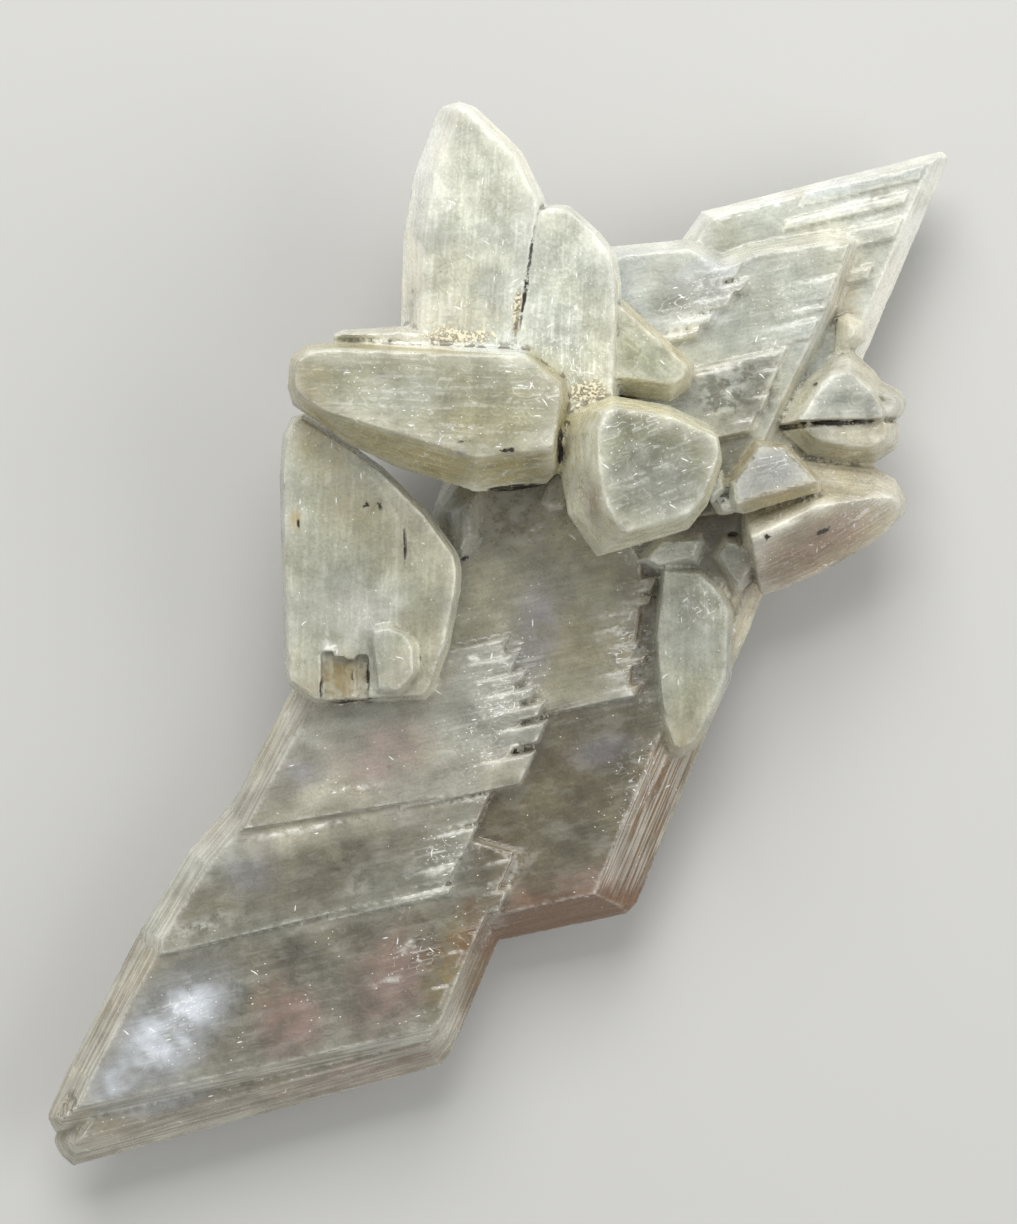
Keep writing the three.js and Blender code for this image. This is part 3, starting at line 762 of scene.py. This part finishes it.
        # Grains of clay, pits and painted seam shadows have clear edges.
        for name, edge in (("clay", Fade(0.3, 0.6)), ("pit_and_shadow", Fade(0.45, 0.75))):
            shares[name] = node("ShaderNodeMapRange", edge.over(shares[name]))
        shares["white"] = self.white(node, marks, patterns)
        veils = self.veil.over(patterns["streaks"])
        shares["veils"] = node("ShaderNodeMapRange", veils, interpolation_type="SMOOTHSTEP")
        return shares

    def white(self, node: NodeAdder, marks: Sockets, patterns: Sockets) -> bpy.types.NodeSocket:
        """Gathers specks, strokes and hairlines, part scratches and part painted glints: a few
        anywhere, and many where it glints.

        Args:
            node: adds a node to the material.
            marks: the attributes' sockets by name.
            patterns: the patterns' sockets by name.

        Returns:
            How white the surface is with them, from 0 to 1.
        """
        worn = node("ShaderNodeMapRange", self.worn_cloud.over(patterns["clouds"]))
        bits = node("ShaderNodeMapRange", self.hairline_bit.over(patterns["mottle"]))
        hairlines = node("ShaderNodeMapRange", self.hairline.over(patterns["lines"]))
        hairlines = {0: hairlines, 1: marks["glint"]}
        hairlines = node("ShaderNodeMath", hairlines, operation="MULTIPLY")
        rings = node("ShaderNodeMapRange", self.ring_glint.over(marks["glint"]))
        rings = node("ShaderNodeMath", {0: patterns["rings"], 1: rings}, operation="MULTIPLY")
        white = node("ShaderNodeMath", {0: rings, 1: hairlines}, operation="MAXIMUM")
        white = node("ShaderNodeMath", {0: white, 1: bits}, operation="MULTIPLY")
        # How many of the cells hold a mark on plain ground, and how many more where it glints.
        filled = (
            ("strokes along", 0.08, 0.3),
            ("strokes down", 0.1, 0.25),
            ("strokes up", 0.1, 0.2),
            ("specks", 0.12, 0.4),
        )
        for name, plain, more in filled:
            few = node("ShaderNodeMath", {0: worn, 1: plain}, operation="MULTIPLY")
            many = node("ShaderNodeMath", {0: marks["glint"], 1: more}, operation="MULTIPLY")
            held = node("ShaderNodeMath", {0: few, 1: many}, operation="ADD")
            lot = {0: patterns[name + " lot"], 1: held}
            held = node("ShaderNodeMath", lot, operation="LESS_THAN")
            held = node("ShaderNodeMath", {0: held, 1: patterns[name]}, operation="MULTIPLY")
            white = node("ShaderNodeMath", {0: white, 1: held}, operation="MAXIMUM")
        return white

    def colour(
        self, node: NodeAdder, marks: Sockets, patterns: Sockets, shares: Sockets
    ) -> bpy.types.NodeSocket:
        """Lays the marks' colours over the blade's tint. Some of these marks paint light and shade.

        Args:
            node: adds a node to the material.
            marks: the attributes' sockets by name.
            patterns: the patterns' sockets by name.
            shares: how much each mark shows, by name.

        Returns:
            The base colour's socket.
        """
        # The tint drifts from cool to warm across a blade, as the veils in it do.
        hue = node("ShaderNodeMapRange", self.hue.over(patterns["drift"]))
        hue = {0: hue, 6: self.cool_hue, 7: self.warm_hue}
        hue = node("ShaderNodeMix", hue, 2, data_type="RGBA")
        colour = node("ShaderNodeVectorMath", {0: marks["tint"], 1: hue}, operation="MULTIPLY")
        shade = 1.0
        # Each pattern makes the tint a little darker or lighter.
        shading = (
            ("clouds", Fade(0.32, 0.68, 0.9, 1.05)),
            ("mottle", Fade(0.32, 0.68, 0.86, 1.1)),
            ("grit", Fade(0.32, 0.68, 0.94, 1.06)),
            ("lines", Fade(0.32, 0.68, 0.94, 1.05)),
        )
        for name, lightness in shading:
            part = node("ShaderNodeMapRange", lightness.over(patterns[name]))
            shade = node("ShaderNodeMath", {0: shade, 1: part}, operation="MULTIPLY")
        colour = node("ShaderNodeVectorMath", {0: colour, 3: shade}, operation="SCALE")
        clay = node("ShaderNodeMapRange", self.pale_clay.over(patterns["grit"]))
        clay = {0: clay, 6: linear(self.clay_colour), 7: linear(self.clay_pale)}
        clay = node("ShaderNodeMix", clay, 2, data_type="RGBA")
        # The marks from the lowest to the topmost, and how much each covers at most.
        layers = (
            # Dark smudges, and painted shade on clear places and in hollows.
            ("smoke_and_shade", 0.8, linear(self.smoke_and_shade_colour)),
            ("veils", 0.35, linear(self.chalk_and_highlight_colour)),
            # Painted glow of light through the thin edges.
            ("milk", 0.5, linear(self.chalk_and_highlight_colour)),
            ("violet", 0.6, linear(self.violet_colour)),
            ("blush", 0.55, linear(self.blush_colour)),
            ("amber", 0.7, linear(self.amber_colour)),
            # Painted sheen on blue-white satin.
            ("silk_sheen", 0.85, linear(self.silk_sheen_colour)),
            ("fibre", 0.7, linear(self.chalk_and_highlight_colour)),
            ("rust", 0.9, linear(self.rust_colour)),
            # Painted highlight along the outer edges.
            ("rim", 0.6, linear(self.chalk_and_highlight_colour)),
            # White bruises, and painted light over shadows.
            ("chalk_and_light", 0.85, linear(self.chalk_and_highlight_colour)),
            # White scratches and specks, and painted glints.
            ("white", 0.85, linear(self.scratch_and_glint_colour)),
            ("clay", 1.0, clay),
            # Painted shade darkening the creases, partly their dark cracks.
            ("crease", 0.8, linear(self.crack_and_shade_colour)),
            # Dark pits and cracks, and painted shadows in open seams.
            ("pit_and_shadow", 1.0, linear(self.pit_and_shadow_colour)),
        )
        for name, most, over in layers:
            share = node("ShaderNodeMath", {0: shares[name], 1: most}, operation="MULTIPLY")
            colour = node("ShaderNodeMix", {0: share, 6: colour, 7: over}, 2, data_type="RGBA")
        return colour

    def clearness(
        self, node: NodeAdder, marks: Sockets, patterns: Sockets, shares: Sockets
    ) -> bpy.types.NodeSocket:
        """Says how much of the light goes through: all but what veils and marks hold back.

        Args:
            node: adds a node to the material.
            marks: the attributes' sockets by name.
            patterns: the patterns' sockets by name.
            shares: how much each mark shows, by name.

        Returns:
            The transmission weight's socket.
        """
        cloudy = node("ShaderNodeMapRange", self.cloudiness.over(patterns["clouds"]))
        held = {0: marks["haze"], 1: cloudy}
        held = node("ShaderNodeMath", held, operation="ADD", use_clamp=True)
        # How much of the light each mark holds back at most.
        holding = (
            ("smoke_and_shade", 0.5),
            ("silk_sheen", 0.85),
            ("milk", 0.8),
            ("rust", 0.7),
            ("fibre", 0.7),
            ("rim", 0.85),
            ("chalk_and_light", 0.9),
            ("white", 0.85),
            ("clay", 1.0),
            ("crease", 0.9),
            ("pit_and_shadow", 1.0),
        )
        for name, most in holding:
            share = node("ShaderNodeMath", {0: shares[name], 1: most}, operation="MULTIPLY")
            held = node("ShaderNodeMath", {0: held, 1: share}, operation="MAXIMUM")
        clear = {0: self.clearest, 1: held}
        return node("ShaderNodeMath", clear, operation="SUBTRACT", use_clamp=True)

    def roughness(
        self, node: NodeAdder, patterns: Sockets, shares: Sockets
    ) -> bpy.types.NodeSocket:
        """Makes the etched faces satin, and the chalky and clay marks matt.

        Args:
            node: adds a node to the material.
            patterns: the patterns' sockets by name.
            shares: how much each mark shows, by name.

        Returns:
            The roughness's socket.
        """
        rough = node("ShaderNodeMapRange", self.satin.over(patterns["mottle"]))
        for name, most in (("rim", 0.1), ("chalk_and_light", 0.3), ("clay", 0.45)):
            share = node("ShaderNodeMath", {0: shares[name], 1: most}, operation="MULTIPLY")
            rough = node("ShaderNodeMath", {0: rough, 1: share}, operation="ADD", use_clamp=True)
        return rough

    def relief(self, node: NodeAdder, patterns: Sockets) -> bpy.types.NodeSocket:
        """Raises growth lines and streaks, and growth hills with stepped sides.

        Args:
            node: adds a node to the material.
            patterns: the patterns' sockets by name.

        Returns:
            The normal's socket.
        """
        height = {0: patterns["hills"], 1: self.hill_step}
        height = node("ShaderNodeMath", height, operation="SNAP")
        height = {0: height, 1: self.hill_rise_mm}
        height = node("ShaderNodeMath", height, operation="MULTIPLY")
        # How high each pattern rises, in millimetres.
        for name, rise in (("lines", 0.008), ("streaks", 0.04), ("mottle", 0.05)):
            part = node("ShaderNodeMath", {0: patterns[name], 1: rise}, operation="MULTIPLY")
            height = node("ShaderNodeMath", {0: height, 1: part}, operation="ADD")
        return node("ShaderNodeBump", {"Strength": 1.0, "Distance": MM, "Height": height})


@dataclass(frozen=True)
class Relief:
    """The low relief of the faces: how far each kind moves the surface, and its grain.

    A grain is the kind's usual size along the growth lines, across them and through the
    blade. All sizes are in millimetres.
    """

    swell: float = 0.07
    swell_grain: tuple[float, float, float] = (14.0, 8.0, 8.0)
    step: float = 0.09
    step_grain: tuple[float, float, float] = (11.0, 3.2, 9.0)
    step_levels: float = 3.5
    ridge: float = 0.05
    ridge_grain: tuple[float, float, float] = (26.0, 0.8, 0.8)
    chip: float = 0.25
    chip_grain: tuple[float, float, float] = (1.9, 1.1, 1.1)
    chip_start: float = 0.05
    seed_shift: float = 17.3

    def lift(self, local: np.ndarray, stepping: np.ndarray, edge: np.ndarray) -> np.ndarray:
        """Says how far each point moves along its normal.

        Args:
            local: points in their face's directions, in millimetres.
            stepping: how strongly growth steps show at each point.
            edge: how near each point is to an outer edge, from 0 to 1.

        Returns:
            The distances in millimetres, positive outwards.
        """
        steps = np.round(self.grain_noise(local, self.step_grain, 1) * self.step_levels)
        steps /= self.step_levels
        chips = np.clip(self.grain_noise(local, self.chip_grain, 3) - self.chip_start, 0, 1)
        return (
            self.swell * self.grain_noise(local, self.swell_grain, 0)
            + self.step * stepping * steps
            - self.ridge * np.abs(self.grain_noise(local, self.ridge_grain, 2))
            - self.chip * edge * chips
        )

    def grain_noise(
        self, local: np.ndarray, grain: tuple[float, float, float], seed: int
    ) -> np.ndarray:
        """Returns a smooth noise from -1 to 1 at each point, one of its own for each seed."""
        scaled = local / np.array(grain) + seed * self.seed_shift
        return np.array([noise.noise(point) for point in scaled.tolist()])


@dataclass
class Cluster:
    """The intergrown blades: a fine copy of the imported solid, with relief and finish.

    Rounds say how often values are evened out over the surface, and a rise says how fast a
    mark grows with them. Side_face, back_face and rest_face are bounds on a normal's Z.
    Milk_unworn and crease_unworn are what a blade without wear keeps of these marks.
    """

    sight: Sight
    node: str = "selenite_cluster"
    slot: str = "selenite"
    merge_mm: float = 0.002
    voxel_mm: float = 0.26
    triangles: int = 192_000
    back_triangles: int = 12_000
    edge_rounding: int = 8
    rounding_factor: float = 0.5
    sharp_edge_degrees: float = 30.0
    relief: Relief = Relief()
    sharp_bulge_mm: float = 0.03
    crease_rounds: int = 3
    crease_rise: float = 2.0
    side_face: float = 0.8
    back_face: float = -0.4
    rest_face: float = -0.9
    rest_mm: float = 0.25
    probe_mm: float = 0.4
    plane_turns: float = 40.0
    plane_depths: float = 5.0
    plane_reach_mm: float = 15.0
    front_rise: float = 3.0
    front_level: float = 0.8
    milk_rounds: int = 60
    milk_rise: float = 4.0
    milk_unworn: float = 0.1
    crease_unworn: float = 0.15
    rim_rise: float = 1.2
    rim_worn_off: float = 0.5
    edge_start: float = 0.25
    side_haze: float = 0.12
    tint_rounds: int = 16
    worn_glint: float = 0.3
    piece: bpy.types.Object = field(init=False)
    faces: BVHTree = field(init=False)
    normal_of_face: np.ndarray = field(init=False)
    blade_of_face: np.ndarray = field(init=False)
    grain_of_face: np.ndarray = field(init=False)
    side_of_face: np.ndarray = field(init=False)
    face_of_vertex: np.ndarray = field(init=False)
    outer_edge: np.ndarray = field(init=False)
    inner_edge: np.ndarray = field(init=False)

    def build(self, solid: bpy.types.Object) -> bpy.types.Object:
        """Builds the dressed cluster.

        Args:
            solid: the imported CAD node.

        Returns:
            The piece that stands for the node.
        """
        self.copy_solid(solid)
        self.find_blades()
        self.refine()
        self.grow_relief()
        self.write_marks()
        self.thin()
        self.write_growth()
        self.piece.data.materials.clear()
        self.piece.data.materials.append(FrostedSelenite().build())
        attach(self.piece, "root")
        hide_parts(self.node)
        return self.piece

    def copy_solid(self, solid: bpy.types.Object) -> None:
        """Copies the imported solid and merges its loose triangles.

        Args:
            solid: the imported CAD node, which stays as it is.
        """
        self.piece = solid.copy()
        self.piece.data = solid.data.copy()
        self.piece.parent = None
        for key in list(self.piece.keys()):
            del self.piece[key]
        self.piece.name = self.piece.data.name = "selenite_blades"
        bpy.context.scene.collection.objects.link(self.piece)
        only_select(self.piece)
        bpy.ops.object.mode_set(mode="EDIT")
        bpy.ops.mesh.select_all(action="SELECT")
        bpy.ops.mesh.remove_doubles(threshold=self.merge_mm * MM)
        bpy.ops.object.mode_set(mode="OBJECT")

    def find_blades(self) -> None:
        """Finds each flat face's blade and grain, one answer for what lies in one plane."""
        mesh = self.piece.data
        count = len(mesh.polygons)
        centres = np.empty(count * 3)
        normals = np.empty(count * 3)
        areas = np.empty(count)
        mesh.polygons.foreach_get("center", centres)
        mesh.polygons.foreach_get("normal", normals)
        mesh.polygons.foreach_get("area", areas)
        centres = centres.reshape(-1, 3) / MM
        normals = normals.reshape(-1, 3)
        inside = centres - normals * self.probe_mm
        drawn = self.sight.drawn(inside)
        reach = np.array([blade.reach(drawn, inside[:, 2]) for blade in BLADES])
        # Faces that lie in one plane near each other take the blade that most of them lie in.
        turns = normals * self.plane_turns
        depths = np.sum(centres * normals, axis=1, keepdims=True) * self.plane_depths
        region = centres[:, :2] / self.plane_reach_mm
        planes = np.round(np.hstack([turns, depths, region])).astype(int)
        _, group = np.unique(planes, axis=0, return_inverse=True)
        votes = np.zeros((group.max() + 1, len(BLADES)))
        np.add.at(votes, (group, np.argmin(reach, axis=0)), areas)
        self.blade_of_face = np.argmax(votes, axis=1)[group]
        self.side_of_face = np.abs(normals[:, 2]) < self.side_face
        flat_grain = np.radians([blade.grain for blade in BLADES])[self.blade_of_face]
        side_grain = np.arctan2(normals[:, 0], -normals[:, 1])
        self.grain_of_face = np.where(self.side_of_face, side_grain, flat_grain)
        self.normal_of_face = normals
        points = [vertex.co.copy() for vertex in mesh.vertices]
        faces = [tuple(face.vertices) for face in mesh.polygons]
        self.faces = BVHTree.FromPolygons(points, faces)

    def refine(self) -> None:
        """Remeshes the copy finely and rounds its edges a little."""
        only_select(self.piece)
        self.piece.data.remesh_voxel_size = self.voxel_mm * MM
        self.piece.data.remesh_voxel_adaptivity = 0.0
        bpy.ops.object.voxel_remesh()
        self.round_edges(1, "")
        self.face_of_vertex = self.face_at(self.places())
        self.outer_edge = self.bulge(1)
        self.inner_edge = -self.crease_rise * self.bulge(self.crease_rounds)
        worn = self.of_blade("worn")
        group = self.piece.vertex_groups.new(name="worn")
        for share in np.unique(worn):
            group.add(np.flatnonzero(worn == share).tolist(), float(share), "REPLACE")
        self.round_edges(self.edge_rounding, "worn")
        self.piece.vertex_groups.clear()

    def round_edges(self, rounds: int, group: str) -> None:
        """Rounds the edges by evening the surface out.

        Args:
            rounds: how many times it is evened.
            group: the vertices to move, by weight, or an empty string for all.
        """
        rounding = self.piece.modifiers.new("worn edges", "SMOOTH")
        rounding.factor = self.rounding_factor
        rounding.iterations = rounds
        rounding.vertex_group = group
        bpy.ops.object.modifier_apply(modifier=rounding.name)

    def thin(self) -> None:
        """Takes triangles out, most of them on the back, and smooths the shading."""
        mesh = self.piece.data
        behind = self.normals()[:, 2] < self.back_face
        group = self.piece.vertex_groups.new(name="back")
        group.add(np.flatnonzero(behind).tolist(), 1.0, "REPLACE")
        # The remesh leaves four-sided faces of two triangles each.
        whole = 2 * len(mesh.polygons)
        back = whole * behind.mean()
        self.decimate((whole - back + self.back_triangles) / whole, "back")
        # A closed surface has about two triangles to a vertex.
        self.decimate(self.triangles / (2 * len(mesh.vertices)), "")
        self.piece.vertex_groups.clear()
        only_select(self.piece)
        bpy.ops.object.shade_smooth_by_angle(angle=math.radians(self.sharp_edge_degrees))
        log.info("thinned from %d triangles to %d", whole, 2 * len(mesh.vertices))

    def decimate(self, share: float, group: str) -> None:
        """Keeps a share of the triangles.

        Args:
            share: the share to keep.
            group: the vertices to take from, or an empty string for all.
        """
        only_select(self.piece)
        thinning = self.piece.modifiers.new("fewer triangles", "DECIMATE")
        thinning.ratio = min(1.0, share)
        thinning.vertex_group = group
        bpy.ops.object.modifier_apply(modifier=thinning.name)

    def face_at(self, points: np.ndarray) -> np.ndarray:
        """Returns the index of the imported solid's face nearest to each point, in metres."""
        return np.array([self.faces.find_nearest(point)[2] for point in points])

    def of_blade(self, value: str) -> np.ndarray:
        """Returns a named value of the blade that each vertex belongs to."""
        values = np.array([getattr(blade, value) for blade in BLADES])
        return values[self.blade_of_face[self.face_of_vertex]]

    def places(self) -> np.ndarray:
        """Returns the vertices' places, in metres, one per line."""
        places = np.empty(len(self.piece.data.vertices) * 3)
        self.piece.data.vertices.foreach_get("co", places)
        return places.reshape(-1, 3)

    def normals(self) -> np.ndarray:
        """Returns the vertices' normals, one per line."""
        normals = np.empty(len(self.piece.data.vertices) * 3)
        self.piece.data.vertices.foreach_get("normal", normals)
        return normals.reshape(-1, 3)

    def spread(self, values: np.ndarray, rounds: int) -> np.ndarray:
        """Evens values out over the surface.

        Args:
            values: one number per vertex.
            rounds: how many times each takes half of its value from its neighbours.

        Returns:
            The evened values.
        """
        mesh = self.piece.data
        count = len(mesh.vertices)
        ends = np.empty(len(mesh.edges) * 2, dtype=np.int64)
        mesh.edges.foreach_get("vertices", ends)
        first, second = ends.reshape(-1, 2).T
        neighbours = np.maximum(np.bincount(ends, minlength=count), 1)
        for _ in range(rounds):
            total = np.bincount(first, values[second], count)
            total = total + np.bincount(second, values[first], count)
            values = 0.5 * values + 0.5 * total / neighbours
        return values

    def bulge(self, rounds: int) -> np.ndarray:
        """Measures how far each vertex stands out from its neighbours.

        Args:
            rounds: how many times the measure is evened out.

        Returns:
            Positive on outer edges and negative in creases, about 1 on a sharp edge.
        """
        places = self.places() / MM
        # One round goes half the way to the neighbours' mean, so the distance is doubled.
        evened = np.stack([self.spread(axis, 1) for axis in places.T], axis=1)
        out = 2 * np.sum((places - evened) * self.normals(), axis=1)
        return self.spread(out, rounds) / self.sharp_bulge_mm

    def grow_relief(self) -> None:
        """Moves the surface by growth steps, ridges, swells and chipped edges."""
        mesh = self.piece.data
        places = self.places()
        normals = self.normals()
        local = self.local_places(places / MM, self.face_of_vertex)
        edge = np.clip(self.outer_edge, 0, 1)
        lift = self.relief.lift(local, self.of_blade("steps"), edge)
        places += normals * lift[:, None] * MM
        low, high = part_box(self.node)
        rest = (places[:, 2] < self.rest_mm * MM) & (normals[:, 2] < self.rest_face)
        places[rest, 2] = low[2]
        places = np.clip(places, np.array(low), np.array(high))
        mesh.vertices.foreach_set("co", places.ravel())
        mesh.update()

    def local_places(self, places: np.ndarray, faces: np.ndarray) -> np.ndarray:
        """Gives places along the grain, across it and through it.

        Args:
            places: points in millimetres, one per line.
            faces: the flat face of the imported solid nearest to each.

        Returns:
            The same points in their face's directions, in millimetres.
        """
        grain = self.grain_of_face[faces]
        apart = self.blade_of_face[faces] * BLADE_SHIFT_MM
        along = places[:, 0] * np.cos(grain) + places[:, 1] * np.sin(grain)
        across = places[:, 1] * np.cos(grain) - places[:, 0] * np.sin(grain)
        return np.stack([along + apart, across + apart, places[:, 2]], axis=1)

    def write_growth(self) -> None:
        """Writes each corner's place in its face's plane, along the grain and across it."""
        mesh = self.piece.data
        count = len(mesh.polygons)
        centres = np.empty(count * 3)
        mesh.polygons.foreach_get("center", centres)
        totals = np.empty(count, dtype=np.int64)
        mesh.polygons.foreach_get("loop_total", totals)
        corners = np.empty(len(mesh.loops), dtype=np.int64)
        mesh.loops.foreach_get("vertex_index", corners)
        faces = np.repeat(self.face_at(centres.reshape(-1, 3)), totals)
        grain = self.grain_of_face[faces]
        normals = self.normal_of_face[faces]
        along = np.stack([np.cos(grain), np.sin(grain), np.zeros(len(grain))], axis=1)
        along -= normals * np.sum(along * normals, axis=1, keepdims=True)
        along /= np.linalg.norm(along, axis=1, keepdims=True)
        across = np.cross(normals, along)
        places = self.places()[corners]
        growth = np.zeros((len(corners), 3), dtype=np.float32)
        growth[:, 0] = np.sum(places * along, axis=1)
        growth[:, 1] = np.sum(places * across, axis=1)
        growth[:, :2] += self.blade_of_face[faces, None] * BLADE_SHIFT_MM * MM
        layer = mesh.attributes.new("growth", "FLOAT_VECTOR", "CORNER")
        layer.data.foreach_set("vector", growth.ravel())

    def write_marks(self) -> None:
        """Writes the tint, haze and marks that the finish reads, one value per vertex."""
        side = self.side_of_face[self.face_of_vertex]
        values = self.spot_marks()
        values["haze"] = self.of_blade("haze") + self.side_haze * side
        values["fibre"] = self.of_blade("fibre") * side
        values.update(self.edge_marks())
        mesh = self.piece.data
        for name, value in values.items():
            layer = mesh.attributes.new(name, "FLOAT", "POINT")
            layer.data.foreach_set("value", value.astype(np.float32))
        layer = mesh.attributes.new("tint", "FLOAT_VECTOR", "POINT")
        layer.data.foreach_set("vector", self.tints(side).astype(np.float32).ravel())

    def spot_marks(self) -> dict[str, np.ndarray]:
        """Draws the spots, over what a whole blade has of the same marks.

        Returns:
            By each mark's name, how strong it is at each vertex.
        """
        drawn = self.sight.drawn(self.places() / MM)
        # The drawing shows the front only, so a mark fades out where the face turns away.
        front = np.clip(self.normals()[:, 2] * self.front_rise + self.front_level, 0, 1)
        marks = {mark: np.zeros(len(drawn)) for mark in Mark}
        marks[Mark.SMOKE] = self.of_blade("smoke_and_shade")
        marks[Mark.GLINT] = self.worn_glint * self.of_blade("worn")
        for mark, spots in SPOTS.items():
            for spot in spots:
                marks[mark] = np.maximum(marks[mark], spot.strength(drawn) * front)
        return {mark.value: strength for mark, strength in marks.items()}

    def edge_marks(self) -> dict[str, np.ndarray]:
        """Finds painted light on the edges, a milky glow and rim highlights, and painted shade in
        creases, as worn as each blade is.

        Returns:
            By each mark's name, how strong it is at each vertex.
        """
        worn = self.spread(self.of_blade("worn"), self.tint_rounds)
        # A painted glow of light through the thin edges, spread inwards from them.
        milk = self.spread(np.clip(self.outer_edge, 0, 1), self.milk_rounds)
        milk = np.clip(self.milk_rise * milk, 0, 1)
        # A painted highlight along the outer edges.
        rim = np.clip(self.rim_rise * self.outer_edge - self.edge_start, 0, 1)
        # Painted shade darkening the creases, partly their dark cracks.
        crease = np.clip(self.inner_edge - self.edge_start, 0, 1)
        return {
            "milk": milk * (self.milk_unworn + (1 - self.milk_unworn) * worn),
            "rim": rim * (1 - self.rim_worn_off * worn),
            "crease": crease * (self.crease_unworn + (1 - self.crease_unworn) * worn),
        }

    def tints(self, side: np.ndarray) -> np.ndarray:
        """Finds each vertex's tint, evened out between blades that meet.

        Args:
            side: whether each vertex lies on a side face.

        Returns:
            Linear red, green and blue, one line per vertex.
        """
        owners = self.blade_of_face[self.face_of_vertex]
        flat_tints = np.array([linear(blade.tint)[:3] for blade in BLADES])[owners]
        side_tints = np.array([linear(blade.side)[:3] for blade in BLADES])[owners]
        # Most side tints are paler than the tops: painted light on side faces that the lamps leave
        # darker.
        tints = np.where(side[:, None], side_tints, flat_tints)
        return np.stack([self.spread(channel, self.tint_rounds) for channel in tints.T], axis=1)


@dataclass
class Studio:
    """A plain pale floor under soft light. Places and sizes are in metres, powers in watts."""

    floor_size: float = 4.0
    floor_colour: str = "#bfbeba"
    floor_roughness: float = 0.8
    key_place: tuple[float, float, float] = (-0.05, 0.4, 0.5)
    key_size: float = 0.4
    key_power: float = 3.6
    fill_place: tuple[float, float, float] = (0.5, -0.05, 0.45)
    fill_size: float = 0.5
    fill_power: float = 1.6
    world_colour: str = "#e9ebee"
    world_strength: float = 0.6

    def build(self) -> bpy.types.Object:
        """Builds the floor, the lights and the world.

        Returns:
            The floor.
        """
        self.light("key", self.key_place, self.key_size, self.key_power)
        self.light("fill", self.fill_place, self.fill_size, self.fill_power)
        world = bpy.data.worlds.new("pale room")
        bpy.context.scene.world = world
        world.use_nodes = True
        background = world.node_tree.nodes["Background"]
        background.inputs["Color"].default_value = linear(self.world_colour)
        background.inputs["Strength"].default_value = self.world_strength
        return self.floor()

    def floor(self) -> bpy.types.Object:
        """Makes the floor, a matt painted board, and returns it."""
        bpy.ops.object.select_all(action="DESELECT")
        bpy.ops.mesh.primitive_plane_add(size=self.floor_size)
        floor = bpy.context.active_object
        floor.name = "floor"
        material = bpy.data.materials.new("matt painted board")
        material.use_nodes = True
        shader = material.node_tree.nodes["Principled BSDF"]
        shader.inputs["Base Color"].default_value = linear(self.floor_colour)
        shader.inputs["Roughness"].default_value = self.floor_roughness
        floor.data.materials.append(material)
        return floor

    @staticmethod
    def light(name: str, place: tuple[float, float, float], size: float, power: float) -> None:
        """Adds a square soft light that looks at the cluster.

        Args:
            name: the light's name.
            place: where it hangs, in metres.
            size: the side of its square, in metres.
            power: its power in watts.
        """
        bpy.ops.object.light_add(type="AREA", location=place)
        lamp = bpy.context.active_object
        lamp.name = name
        lamp.data.size = size
        lamp.data.energy = power
        aim = -lamp.location
        lamp.rotation_euler = aim.to_track_quat("-Z", "Y").to_euler()


@dataclass
class Viewpoint:
    """The camera, which looks straight down on the cluster and sees from 1 cm to 20 m away."""

    sight: Sight
    sensor_mm: float = 36.0
    nearest: float = 0.01
    farthest: float = 20.0

    def build(self) -> bpy.types.Object:
        """Builds the camera and makes it the scene's own.

        Returns:
            The camera.
        """
        sight = self.sight
        place = (sight.eye_x, sight.eye_y + sight.to_origin_y, sight.eye_height)
        bpy.ops.object.camera_add(location=[value * MM for value in place], rotation=(0, 0, 0))
        camera = bpy.context.active_object
        camera.name = "camera"
        reach = sight.eye_height - sight.drawing_height
        camera.data.sensor_width = self.sensor_mm
        camera.data.lens = self.sensor_mm * reach / sight.frame_height
        camera.data.clip_start = self.nearest
        camera.data.clip_end = self.farthest
        bpy.context.scene.camera = camera
        return camera


def main() -> None:
    """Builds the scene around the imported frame, and reports each piece."""
    logging.basicConfig(level=logging.INFO, format="%(message)s")
    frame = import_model()
    sight = Sight()
    camera = Viewpoint(sight).build()
    log.info("camera with a lens of %.1f mm", camera.data.lens)
    Studio().build()
    cluster = Cluster(sight)
    piece = cluster.build(frame["nodes"][cluster.node])
    log.info("cluster of %d faces", len(piece.data.polygons))
    bpy.context.scene.view_settings.view_transform = "Standard"


if __name__ == "__main__":
    main()
